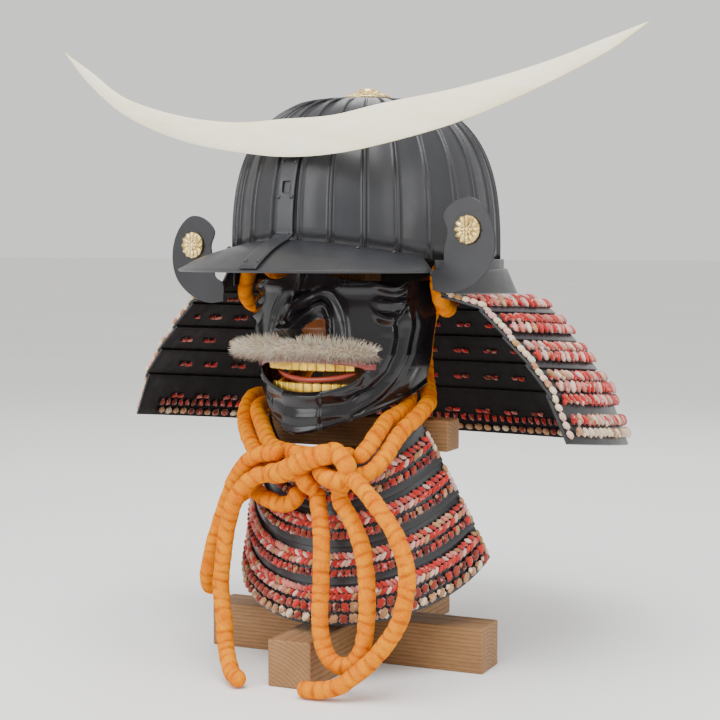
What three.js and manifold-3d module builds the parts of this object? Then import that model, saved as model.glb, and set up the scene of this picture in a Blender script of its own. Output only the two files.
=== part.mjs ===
import * as THREE from "three";
import { mergeVertices } from "three/addons/utils/BufferGeometryUtils.js";
import Module from "manifold-3d";

// Kabuto: a ribbed iron bowl with visor, crest and laced neck guard, a face mask with a laced
// throat guard, the chin cord tied under it, and the plain wooden stand that carries them.
// Millimetres, Z up, floor at Z = 0. The face looks along -Y and the wearer's left is +X.

const wasm = await Module();
wasm.setup();

const gap = 0.3; // clearance between pieces that touch

// Bowl
const bowlHalfWidth = 108;
const bowlHalfLength = 126;
const crownZ = 476;
const sideRimZ = 336;
const frontRimRise = 17;
const bowlWall = 2;
const domeRise = 3; // exponents of the upright section, a rounded square
const domeRound = 2.8;
const plateCount = 26;
const ribHeight = 2.6;
const ribHalfAngle = 1.1;
const domeRows = 10;

// Visor, strap and finial
const visorHalfAngle = 58;
const visorReach = 48;
const visorEdgeZ = 331;
const visorCrown = 3;
const plateWall = 2;
const strapWidth = 17;
const strapTopRise = 0.56; // share of the dome's height where the strap ends
const nailHole = { width: 7, height: 9, z: 397 };

// Crest, in its own upright plane
const crestY = -125;
const crestThickness = 3;
const socket = { width: 10, bottom: 424, top: 440 };
const crestRows = [
  { x: -231, lower: 517, upper: 517 },
  { x: -205, lower: 490, upper: 501 },
  { x: -170, lower: 464, upper: 478 },
  { x: -130, lower: 446, upper: 464 },
  { x: -90, lower: 434, upper: 455 },
  { x: -45, lower: 426, upper: 450 },
  { x: 0, lower: 421, upper: 451 },
  { x: 45, lower: 422, upper: 452 },
  { x: 90, lower: 428, upper: 459 },
  { x: 160, lower: 443, upper: 468 },
  { x: 228, lower: 466, upper: 482 },
  { x: 280, lower: 488, upper: 497 },
  { x: 308, lower: 505, upper: 505 },
];

// Turned-back wings and their rosettes
const wingBackY = -68;
const wingThickness = 2.5;
const wingOutline = [
  { x: 104, z: 310 },
  { x: 120, z: 308 },
  { x: 141, z: 315 },
  { x: 156, z: 330 },
  { x: 160, z: 350 },
  { x: 154, z: 370 },
  { x: 140, z: 383 },
  { x: 124, z: 381 },
  { x: 113, z: 370 },
  { x: 117, z: 357 },
  { x: 114, z: 343 },
  { x: 113, z: 331 },
  { x: 104, z: 325 },
];
const wingLift = { left: 5, right: -7 }; // the two wings don't stand level
const rosette = { x: 136, z: 358, radius: 12, depth: 3, petals: 12 };

// Neck guard: sections from the bowl's rim out to the hem, measured out from the bowl's outline
const neckRows = [
  { out: 8, z: 331 },
  { out: 16, z: 306 },
  { out: 46, z: 290 },
  { out: 64, z: 264 },
  { out: 82, z: 238 },
  { out: 98, z: 210 },
  { out: 110, z: 169 },
];
const neckFrontLift = 52; // the hem climbs towards its front ends
const neckTopEndY = -68;
const neckHemEndY = -54;
const neckStations = 22;
const waistBand = { out: 3.4, wall: 2, top: 339, bottom: 316, endAngle: 63 };

// Laced rows lie on the lames; each lame tucks under the one above it
const lameWall = 2;
const shingle = 2.5;
const lameOverlap = 5;
const lacingHeight = 4.5;
const lacingSeat = 0.8; // between a plate and the laces on it
const lacingReach = 0.98; // share of a lame's half that its lacing covers

// Mask: sections from the bridge of the nose down to the chin
const maskRows = [
  { z: 334, half: 80, front: 92, nose: 4, noseHalf: 8 },
  { z: 314, half: 82, front: 94, nose: 12, noseHalf: 8 },
  { z: 300, half: 84, front: 97, nose: 21, noseHalf: 9 },
  { z: 290, half: 84, front: 99, nose: 31, noseHalf: 11 },
  { z: 284, half: 83, front: 100, nose: 34, noseHalf: 14 },
  { z: 278, half: 82, front: 101, nose: 24, noseHalf: 15 },
  { z: 271, half: 81, front: 102, nose: 4, noseHalf: 16 },
  { z: 262, half: 80, front: 103, nose: 0, noseHalf: 16 },
  { z: 252, half: 78, front: 103, nose: 0, noseHalf: 16 },
  { z: 230, half: 72, front: 103, nose: 0, noseHalf: 16 },
  { z: 212, half: 62, front: 106, nose: 0, noseHalf: 16 },
  { z: 197, half: 48, front: 105, nose: 0, noseHalf: 16 },
];
const maskBack = 28;
const maskWall = 2;
const maskColumns = [0, 0.055, 0.11, 0.17, 0.25, 0.34, 0.44, 0.54, 0.64, 0.78, 0.9, 1];
const faceShares = [0, 0.12, 0.25, 0.38, 0.5, 0.6, 0.72, 0.86, 1]; // of the way from brow edge to lip
const chinShares = [0.2, 0.45, 0.72, 1]; // of the way from lip to chin edge
const mouthHalf = 0.44;
const browZ = 322;
const noseBridge = 10;
const lipZ = 250;
const toothFront = -maskWall - 0.7;
const toothDepth = 1.8;
const chinZ = 197;
const jawRise = 38;

const whiskers = {
  locks: 14,
  half: 72,
  z: 266,
  seat: 0.8, // clear of the lip, which is flat between its facets' corners
  noseRelief: 8, // how far the locks keep down and out under the nose
  noseSpread: 18,
  front: -126,
  sweepBack: 27,
  rise: 7,
  fall: 9,
  freeFrom: 0.62, // share of the half width where the locks leave the face
  freeLean: 22,
};

// Throat guard, stand and its turn under the helmet
const standTurn = THREE.MathUtils.degToRad(8);
const throatTop = { half: 91, front: 103, z: 172, fall: -36.4, endAngle: 50 };
const throatHem = { half: 109, front: 118, z: 45, fall: -45, endAngle: 84 };
const throatShift = 8; // it hangs a little to the wearer's left
const throatPitches = [30, 30, 30, 32]; // how far each lame shows below the one above
const throatStations = 18;
const timber = 38;
const railCentre = { x: 5, y: -34 };
const sideRailLength = 252;
const frontArm = 120;
const backArm = 185;
const postSide = 38;
const crossBar = { length: 186, depth: 26, height: 26, z: 181 };
const headBlock = { width: 60, depth: 70, height: 36, y: 0 };

// Chin cord
const cordDiameter = 14;
const cordSides = 8;
const knot = { x: 34, y: -128.2, z: 176, width: 58, depth: 28, height: 34, bevel: 6 };

const finishes = {
  lacquer: { color: 0x2d3138, roughness: 0.45, metalness: 0.3 },
  blackLacquer: { color: 0x0b0b0e, roughness: 0.12, metalness: 0.1 },
  paleGold: { color: 0xe9dcae, roughness: 0.35, metalness: 0.5 },
  gilt: { color: 0xc79b3b, roughness: 0.3, metalness: 0.9 },
  lacing: { color: 0xb5443a, roughness: 0.9, metalness: 0 },
  orangeCord: { color: 0xf58a12, roughness: 0.95, metalness: 0 },
  hair: { color: 0xd9cfc2, roughness: 0.95, metalness: 0 },
  pine: { color: 0x9c6b3c, roughness: 0.7, metalness: 0 },
};

const vec = (x, y, z) => new THREE.Vector3(x, y, z);
const lerp = THREE.MathUtils.lerp;
const radians = THREE.MathUtils.degToRad;
const range = (n) => Array.from({ length: n }, (_, i) => i);

function piece(name, geometry, finish) {
  const mesh = new THREE.Mesh(geometry, new THREE.MeshStandardMaterial(finishes[finish]));
  mesh.name = name;
  return mesh;
}

// Collects triangles between points and closes them into one geometry with its faces outward.
// A triangle whose corners meet, as at a pole, is left out.
function facets() {
  const points = [];
  const faces = [];
  const known = new Map();
  const at = (p) => {
    const key = [p.x, p.y, p.z].map((v) => Math.round(v * 1e4)).join();
    if (!known.has(key)) known.set(key, points.push(p) - 1);
    return known.get(key);
  };
  const triangle = (a, b, c) => {
    const corners = [a, b, c].map(at);
    if (new Set(corners).size === 3) faces.push(corners);
  };
  const quad = (a, b, c, d) => {
    triangle(a, b, c);
    triangle(a, c, d);
  };
  const geometry = () => {
    const volume = faces.reduce((sum, [a, b, c]) => {
      return sum + points[a].dot(points[b].clone().cross(points[c]));
    }, 0);
    const turned = volume < 0 ? faces.map(([a, b, c]) => [a, c, b]) : faces;
    const made = new THREE.BufferGeometry().setFromPoints(points);
    made.setIndex(turned.flat());
    made.computeVertexNormals();
    return made;
  };
  return { triangle, quad, geometry };
}

// A wall between two grids of points of one size. Cells that `open` names are cut through.
function wall(front, back, open = () => false) {
  const made = facets();
  const rows = front.length - 1;
  const columns = front[0].length - 1;
  const solid = (i, j) => i >= 0 && j >= 0 && i < rows && j < columns && !open(i, j);
  for (const i of range(rows)) {
    for (const j of range(columns)) {
      if (!solid(i, j)) continue;
      const corners = [[i, j], [i, j + 1], [i + 1, j + 1], [i + 1, j]];
      const [a, b, c, d] = corners.map(([r, s]) => front[r][s]);
      const [e, f, g, h] = corners.map(([r, s]) => back[r][s]);
      made.quad(a, b, c, d);
      made.quad(h, g, f, e);
      if (!solid(i - 1, j)) made.quad(b, a, e, f);
      if (!solid(i + 1, j)) made.quad(d, c, g, h);
      if (!solid(i, j - 1)) made.quad(a, d, h, e);
      if (!solid(i, j + 1)) made.quad(c, b, f, g);
    }
  }
  return made.geometry();
}

// A bar through rings of points of one size, closed by a fan at each end.
function sweep(rings) {
  const made = facets();
  const sides = rings[0].length;
  rings.slice(1).forEach((ring, i) => {
    for (const k of range(sides)) {
      const next = (k + 1) % sides;
      made.quad(rings[i][k], rings[i][next], ring[next], ring[k]);
    }
  });
  const [first, last] = [rings[0], rings[rings.length - 1]];
  for (let k = 1; k < sides - 1; k++) {
    made.triangle(first[0], first[k + 1], first[k]);
    made.triangle(last[0], last[k], last[k + 1]);
  }
  return made.geometry();
}

function merged(geometry) {
  const bare = geometry.clone();
  bare.deleteAttribute("normal");
  bare.deleteAttribute("uv");
  return mergeVertices(bare, 1e-4);
}

function solidOf(geometry) {
  const closed = merged(geometry);
  return new wasm.Manifold(
    new wasm.Mesh({
      numProp: 3,
      vertProperties: new Float32Array(closed.attributes.position.array),
      triVerts: new Uint32Array(closed.index.array),
    }),
  );
}

function geometryOf(solid) {
  const mesh = solid.getMesh();
  const made = new THREE.BufferGeometry();
  made.setAttribute("position", new THREE.BufferAttribute(new Float32Array(mesh.vertProperties), 3));
  made.setIndex([...mesh.triVerts]);
  made.computeVertexNormals();
  return made;
}

const cut = (geometry, ...tools) =>
  geometryOf(tools.reduce((left, tool) => left.subtract(solidOf(tool)), solidOf(geometry)));

const box = (width, depth, height, x, y, bottom) =>
  new THREE.BoxGeometry(width, depth, height).translate(x, y, bottom + height / 2);

// Value of one column of a table at `key` of another, which runs one way down the table.
function tableAt(rows, by, key, column) {
  const rising = rows[rows.length - 1][by] > rows[0][by];
  const i = rows.findIndex((row) => (rising ? row[by] >= key : row[by] <= key));
  if (i < 0) return rows[rows.length - 1][column];
  if (i === 0) return rows[0][column];
  const [a, b] = [rows[i - 1], rows[i]];
  return lerp(a[column], b[column], (key - a[by]) / (b[by] - a[by]));
}

// Bowl

const frontness = (angle) => Math.max(0, Math.cos(angle)) ** 2;
const rimZ = (angle) => sideRimZ + frontRimRise * frontness(angle);
const domeShare = (z) => {
  const rise = Math.min(1, Math.max(0, (z - sideRimZ) / (crownZ - sideRimZ)));
  return (1 - rise ** domeRise) ** (1 / domeRound);
};

// A point on the bowl: angle from the front, share of the height, and distance out of the skin.
function bowlPoint(angle, rise, out) {
  const z = lerp(rimZ(angle), crownZ, rise);
  const share = domeShare(z);
  const flat = share * share;
  const slant = Math.hypot(flat, 1 - flat);
  const side = (out * flat) / slant;
  return vec(
    (bowlHalfWidth * share + side) * Math.sin(angle),
    -(bowlHalfLength * share + side) * Math.cos(angle),
    z + (out * (1 - flat)) / slant,
  );
}

const plateStep = (2 * Math.PI) / plateCount;
const ribAngle = (k) => (k + 0.5) * plateStep;
const domeRises = range(domeRows + 1).map((i) => {
  return Math.sin((i / domeRows) * Math.PI * 0.5) ** (2 / domeRise);
});

function bowl() {
  const ribOut = (rise) => ribHeight * Math.min(1, (1 - rise) * 18);
  const outerRow = (rise) =>
    range(plateCount + 1).flatMap((k) =>
      [-1, 0, 1].map((side) => {
        const angle = ribAngle(k) + side * radians(ribHalfAngle);
        return bowlPoint(angle, rise, side === 0 ? ribOut(rise) : 0);
      }),
    );
  const innerRow = (rise) => range(plateCount + 1).map((k) => bowlPoint(ribAngle(k), rise, -bowlWall));
  const outer = domeRises.map(outerRow);
  const inner = domeRises.map(innerRow);
  const made = facets();
  for (const i of range(domeRows)) {
    for (const j of range(3 * plateCount)) {
      made.quad(outer[i][j], outer[i][j + 1], outer[i + 1][j + 1], outer[i + 1][j]);
    }
    for (const k of range(plateCount)) {
      made.quad(inner[i][k + 1], inner[i][k], inner[i + 1][k], inner[i + 1][k + 1]);
    }
  }
  for (const k of range(plateCount)) {
    const [a, b, c, d] = range(4).map((s) => outer[0][3 * k + s]);
    made.triangle(inner[0][k], b, a);
    made.triangle(inner[0][k], c, b);
    made.quad(inner[0][k], inner[0][k + 1], d, c);
  }
  return made.geometry();
}

function finial() {
  const base = crownZ + gap;
  const profile = [
    [0, 0],
    [20, 0],
    [20, 1.5],
    [15, 3],
    [12, 5.5],
    [7, 6],
    [7, 8.5],
    [0, 8.5],
  ];
  const lathe = new THREE.LatheGeometry(profile.map(([r, z]) => new THREE.Vector2(r, z)), 16);
  return lathe.rotateX(Math.PI / 2).translate(0, 0, base);
}

// Visor and the strap down the front plate

function visorPoint(u, v, down) {
  const angle = radians(u * visorHalfAngle);
  const root = bowlPoint(angle, 0, ribHeight + gap);
  const reach = 4 + (visorReach - 4) * Math.sqrt(1 - Math.abs(u) ** 8);
  const bulge = visorCrown * Math.sin(Math.PI * v) * Math.sqrt(1 - Math.abs(u) ** 8);
  return vec(
    root.x + reach * v * Math.sin(angle),
    root.y - reach * v * Math.cos(angle),
    lerp(root.z + 2, Math.min(visorEdgeZ, root.z - 4), v) + bulge - down,
  );
}

const visorStations = range(29).map((j) => Math.sin((j / 14 - 1) * Math.PI * 0.5));

function visor() {
  const grid = (down) => [0, 0.33, 0.67, 1].map((v) => visorStations.map((u) => visorPoint(u, v, down)));
  return wall(grid(0), grid(plateWall));
}

// The strap's path in the plane X = 0, from its top end to the visor's edge
function strapPath() {
  const flatShare = Math.cos(plateStep / 2 - radians(ribHalfAngle));
  const onBowl = range(6).map((i) => {
    const p = bowlPoint(0, lerp(strapTopRise, 0.06, i / 5), 0);
    return new THREE.Vector2(p.y * flatShare - gap, p.z);
  });
  const onVisor = [0.08, 0.33, 0.67, 0.98].map((v) => {
    const p = visorPoint(0, v, 0);
    return new THREE.Vector2(p.y, p.z + gap + 0.2);
  });
  return [...onBowl, ...onVisor];
}

function strap() {
  const path = strapPath();
  const outside = path.map((p, i) => {
    const along = path[Math.min(i + 1, path.length - 1)].clone().sub(path[Math.max(i - 1, 0)]).normalize();
    return new THREE.Vector2(p.x + along.y * plateWall, p.y - along.x * plateWall);
  });
  const rings = [...path.keys()].map((i) =>
    [
      [path[i], -1],
      [path[i], 1],
      [outside[i], 1],
      [outside[i], -1],
    ].map(([p, side]) => vec((side * strapWidth) / 2, p.x, p.y)),
  );
  const { width, height, z } = nailHole;
  const hole = box(width, 30, height, 0, -bowlHalfLength, z - height / 2);
  return cut(sweep(rings), hole);
}

// Crest and the socket that carries it off the strap

function crest() {
  const edge = (column) => {
    const points = crestRows.map((row) => new THREE.Vector2(row.x, row[column]));
    return new THREE.SplineCurve(points).getPoints(2 * (crestRows.length - 1));
  };
  const outline = [...edge("lower"), ...edge("upper").reverse().slice(1, -1)];
  const plate = new THREE.ExtrudeGeometry(new THREE.Shape(outline), {
    depth: crestThickness,
    bevelEnabled: false,
  });
  return plate.rotateX(Math.PI / 2).translate(0, crestY + crestThickness / 2, 0);
}

function crestSocket() {
  const { width, bottom, top } = socket;
  const front = crestY + crestThickness / 2 + gap;
  const skin = (z) => bowlPoint(0, (z - rimZ(0)) / (crownZ - rimZ(0)), gap).y;
  const corners = [
    [front, bottom],
    [skin(bottom), bottom],
    [skin(top), top],
    [front, top],
  ];
  const side = (x) => corners.map(([y, z]) => vec(x, y, z));
  return sweep([side(-width / 2), side(width / 2)]);
}

// Wings, cut from flat plate, and their rosettes

function wing(side, lift) {
  const points = wingOutline.map((p) => new THREE.Vector2(side * p.x, p.z + lift));
  const curve = new THREE.SplineCurve([...points, points[0]]);
  const outline = curve.getPoints(2 * points.length).slice(0, -1);
  const plate = new THREE.ExtrudeGeometry(new THREE.Shape(outline), {
    depth: wingThickness,
    bevelEnabled: false,
  });
  return plate.rotateX(Math.PI / 2).translate(0, wingBackY, 0);
}

function rosetteDisc(side, lift) {
  const outline = range(2 * rosette.petals).map((i) => {
    const angle = (i / (2 * rosette.petals)) * 2 * Math.PI;
    const radius = rosette.radius * (1 - 0.08 * Math.sin((rosette.petals * angle) / 2) ** 2);
    return new THREE.Vector2(radius * Math.cos(angle), radius * Math.sin(angle));
  });
  const disc = new THREE.ExtrudeGeometry(new THREE.Shape(outline), {
    depth: rosette.depth,
    bevelEnabled: false,
  });
  const front = wingBackY - wingThickness - gap;
  return disc.rotateX(Math.PI / 2).translate(side * rosette.x, front, rosette.z + lift);
}

// Laced bands: a surface gives a point for a station, a distance down and a distance out.

function banded(surface, stations, section) {
  return sweep(stations.map((u) => section.map(([down, out]) => surface(u, down, out))));
}

function lameSection(from, to) {
  const out = (down) => (shingle * (down - from)) / (to - from);
  const downs = [from, to, to + lameOverlap];
  const inside = downs.map((down) => [down, out(down) - lameWall]);
  return [...inside, ...downs.reverse().map((down) => [down, out(down)])];
}

function lacingSection(from, to, start) {
  const skin = (down) => (shingle * (down - from)) / (to - from) + lacingSeat;
  const round = (share, height) => {
    const down = lerp(lerp(from, to, start), to, share);
    return [down, skin(down) + height * lacingHeight];
  };
  return [round(0, 0), round(1, 0), round(1, 0.5), round(0.75, 1), round(0.25, 1), round(0, 0.5)];
}

// Neck guard: its surface is worked out from the bowl's outline and the table of sections

const neckSpans = neckRows.slice(1).map((row, i) => {
  return Math.hypot(row.out - neckRows[i].out, row.z - neckRows[i].z);
});
const neckDown = neckRows.map((_, i) => neckSpans.slice(0, i).reduce((sum, span) => sum + span, 0));
const neckLength = neckDown[neckDown.length - 1];
// Each section carries the direction out of the surface, halfway between its two spans.
const neckTable = neckRows.map((row, i) => {
  const above = neckRows[Math.max(0, i - 1)];
  const below = neckRows[Math.min(neckRows.length - 1, i + 1)];
  const span = Math.hypot(below.out - above.out, below.z - above.z);
  const [side, rise] = [(above.z - below.z) / span, (below.out - above.out) / span];
  return { ...row, down: neckDown[i], side, rise };
});

function neckPoint(u, down, out) {
  const at = (column) => tableAt(neckTable, "down", down, column);
  const last = neckTable[neckTable.length - 1];
  const past = Math.max(0, down - neckLength);
  const sideways = at("out") + past * last.rise + out * at("side");
  const share = down / neckLength;
  const endY = lerp(neckTopEndY, neckHemEndY, share);
  const endAngle = Math.acos(-endY / (bowlHalfLength + at("out")));
  const angle = Math.PI + u * (Math.PI - endAngle);
  const lift = neckFrontLift * share * ((1 + Math.cos(angle)) / 2);
  return vec(
    (bowlHalfWidth + sideways) * Math.sin(angle),
    -(bowlHalfLength + sideways) * Math.cos(angle),
    at("z") - past * last.side + lift + out * at("rise"),
  );
}

const spread = (count) => range(count + 1).map((j) => (2 * j) / count - 1);
const setBack = (stations) => stations.map((u) => (Math.abs(u) === 1 ? u * lacingReach : u));

function neckGuard() {
  const guard = new THREE.Group();
  const stations = spread(neckStations);
  const { out, wall: thick, top, bottom, endAngle } = waistBand;
  const bandPoint = (u, z, side) => {
    const angle = Math.PI + u * (Math.PI - radians(endAngle));
    const reach = out + side;
    return vec(
      (bowlHalfWidth + reach) * Math.sin(angle),
      -(bowlHalfLength + reach) * Math.cos(angle),
      z,
    );
  };
  const bandSection = [
    [top, 0],
    [bottom, 0],
    [bottom, thick],
    [top, thick],
  ];
  guard.add(piece("waist_band", banded(bandPoint, stations, bandSection), "lacquer"));
  guard.add(piece("neck_top_plate", banded(neckPoint, stations, lameSection(0, neckDown[1])), "lacquer"));
  for (let i = 1; i < neckRows.length - 1; i++) {
    const [from, to] = [neckDown[i], neckDown[i + 1]];
    guard.add(piece("neck_lame_" + i, banded(neckPoint, stations, lameSection(from, to)), "lacquer"));
    const laced = banded(neckPoint, setBack(stations), lacingSection(from, to, 0.3));
    guard.add(piece("neck_lacing_" + i, laced, "lacing"));
  }
  return guard;
}

// Mask

const maskAt = (z, column) => tableAt(maskRows, "z", z, column);

function maskPoint(u, z, out) {
  const angle = u * Math.PI * 0.5;
  const half = maskAt(z, "half") + out;
  const x = half * Math.sin(angle);
  const nose = maskAt(z, "nose") * Math.exp(-((x / maskAt(z, "noseHalf")) ** 2));
  const depth = maskAt(z, "front") + out - maskBack;
  return vec(x, -(maskBack + depth * Math.cos(angle)) - nose, z);
}

const browEdge = (u) => browZ + noseBridge * Math.exp(-((u / 0.18) ** 2));
const chinEdge = (u) => chinZ + jawRise * Math.abs(u) ** 1.5;
const mouthShare = (u) => Math.max(0, 1 - (u / mouthHalf) ** 2);
const upperLip = (u) => lipZ + 1.5 + 4 * mouthShare(u);
const lowerLip = (u) => lipZ - 1.5 - 17 * Math.sqrt(mouthShare(u));

function maskShell() {
  const columns = [...maskColumns.slice(1).reverse().map((u) => -u), ...maskColumns];
  const heights = [
    ...faceShares.map((share) => (u) => lerp(browEdge(u), upperLip(u), share)),
    lowerLip,
    ...chinShares.map((share) => (u) => lerp(lowerLip(u), chinEdge(u), share)),
  ];
  const grid = (out) => heights.map((height) => columns.map((u) => maskPoint(u, height(u), out)));
  const mouthRow = faceShares.length - 1;
  const inMouth = (i, j) => i === mouthRow && Math.abs(columns[j] + columns[j + 1]) / 2 < mouthHalf;
  return wall(grid(0), grid(-maskWall), inMouth);
}

// A row of teeth behind a lip: scallops along one edge, standing just inside the mask's wall
function teeth(edgeZ, rootZ) {
  const count = 12;
  const stations = range(2 * count + 1).map((j) => j / count - 1);
  const rings = stations.map((t, j) => {
    const u = t * mouthHalf * 0.86;
    const notch = j % 2 === 0 ? 0.25 : 0;
    const tip = lerp(edgeZ, rootZ, notch);
    return [
      maskPoint(u, rootZ, toothFront),
      maskPoint(u, tip, toothFront),
      maskPoint(u, tip, toothFront - toothDepth),
      maskPoint(u, rootZ, toothFront - toothDepth),
    ];
  });
  return sweep(rings);
}

// Moustache: locks side by side, fused along the lip and spreading free past the cheeks
function moustache() {
  const { locks, half, z, seat, front, sweepBack, rise, fall } = whiskers;
  const { noseRelief, noseSpread, freeFrom, freeLean } = whiskers;
  const rings = range(2 * locks + 1).map((j) => {
    const t = j / locks - 1;
    const x = half * t;
    const onLip = Math.asin(Math.min(0.6, Math.abs(x) / maskAt(z, "half"))) * Math.sign(x);
    const tip = front + sweepBack * t * t;
    const free = Math.max(0, Math.abs(t) - freeFrom);
    const relief = noseRelief * Math.exp(-((x / noseSpread) ** 2));
    const off = seat + 0.75 * relief;
    const backAt = (height) => maskPoint(onLip / (Math.PI / 2), height, off).y - freeLean * free;
    const back = backAt(z);
    const tuft = j % 2 === 0 ? 0.72 : 1;
    return [
      vec(x, backAt(z - 4), z - 4),
      vec(x, backAt(z + 4), z + 4),
      vec(x, lerp(back, tip, 0.5), z + rise * tuft + 2 - 4 * t * t - relief),
      vec(x, tip, z + 2 - 2 * t * t),
      vec(x, lerp(back, tip, 0.6), z - fall * tuft - 2 * t * t),
    ];
  });
  return sweep(rings);
}

// Throat guard, in the turned frame of the stand

function throatPoint(u, down, out) {
  const mix = (column) => lerp(throatTop[column], throatHem[column], down);
  const angle = radians(u * mix("endAngle"));
  const rise = mix("z") - mix("fall") * u * u;
  return vec((mix("half") + out) * Math.sin(angle), -(mix("front") + out) * Math.cos(angle), rise);
}

function throatGuard() {
  const guard = new THREE.Group();
  const height = throatTop.z - throatHem.z;
  const surface = (u, down, out) => throatPoint(u, down / height, out);
  let from = 0;
  for (const [i, pitch] of throatPitches.entries()) {
    const to = from + pitch;
    const name = (kind) => "throat_" + kind + "_" + (i + 1);
    const stations = spread(throatStations);
    guard.add(piece(name("lame"), banded(surface, stations, lameSection(from, to)), "lacquer"));
    const laced = banded(surface, setBack(stations), lacingSection(from, to, 0.36));
    guard.add(piece(name("lacing"), laced, "lacing"));
    from = to;
  }
  guard.rotation.z = standTurn;
  guard.position.x = throatShift;
  return guard;
}

// Stand: two halved rails, a post in two lengths with the cross bar between, and a block
// that holds the bowl under its crown.

function halfLap(length, depth, centre, notchTop) {
  const rail = box(length, depth, timber, centre, 0, 0);
  const width = timber + 2 * gap;
  const [bottom, height] = notchTop ? [timber / 2, timber] : [-timber / 2, timber];
  return cut(rail, box(width, depth + 2, height + gap / 2, 0, 0, bottom - (notchTop ? gap / 2 : 0)));
}

function stand() {
  const frame = new THREE.Group();
  frame.position.set(railCentre.x, railCentre.y, 0);
  frame.rotation.z = standTurn;
  frame.add(piece("foot_rail_side", halfLap(sideRailLength, timber, 0, true), "pine"));
  const lengthwise = halfLap(frontArm + backArm, timber, (backArm - frontArm) / 2, false);
  frame.add(piece("foot_rail_front", lengthwise.rotateZ(Math.PI / 2), "pine"));
  const lowerTop = crossBar.z - gap;
  const postBottom = timber + gap;
  const lower = box(postSide, postSide, lowerTop - postBottom, 0, 0, postBottom);
  frame.add(piece("post_lower", lower, "pine"));
  const { length, depth, height, z } = crossBar;
  frame.add(piece("cross_bar", box(length, depth, height, 0, 0, z), "pine"));
  return frame;
}

// Height of the bowl's inner skin above a point inside it
function crownInside(x, y) {
  const angle = Math.atan2(x, -y);
  let [low, high] = [0, 1];
  while (high - low > 1e-6) {
    const middle = (low + high) / 2;
    const p = bowlPoint(angle, middle, -bowlWall);
    if (Math.hypot(p.x, p.y) > Math.hypot(x, y)) low = middle;
    else high = middle;
  }
  return bowlPoint(angle, low, -bowlWall).z;
}

function upperPost() {
  const bottom = crossBar.z + crossBar.height + gap;
  const { width, depth, height, y } = headBlock;
  const top = crownInside(width / 2, y - depth / 2) - 2 * gap;
  const post = box(postSide, postSide, top - height - gap - bottom, 0, 0, bottom);
  post.rotateZ(standTurn).translate(railCentre.x, railCentre.y, 0);
  return [
    piece("post_upper", post, "pine"),
    piece("head_block", box(width, depth, height, 0, y, top - height), "pine"),
  ];
}

// Chin cord: routes from the bowl's rim or the knot, in order along the cord

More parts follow.
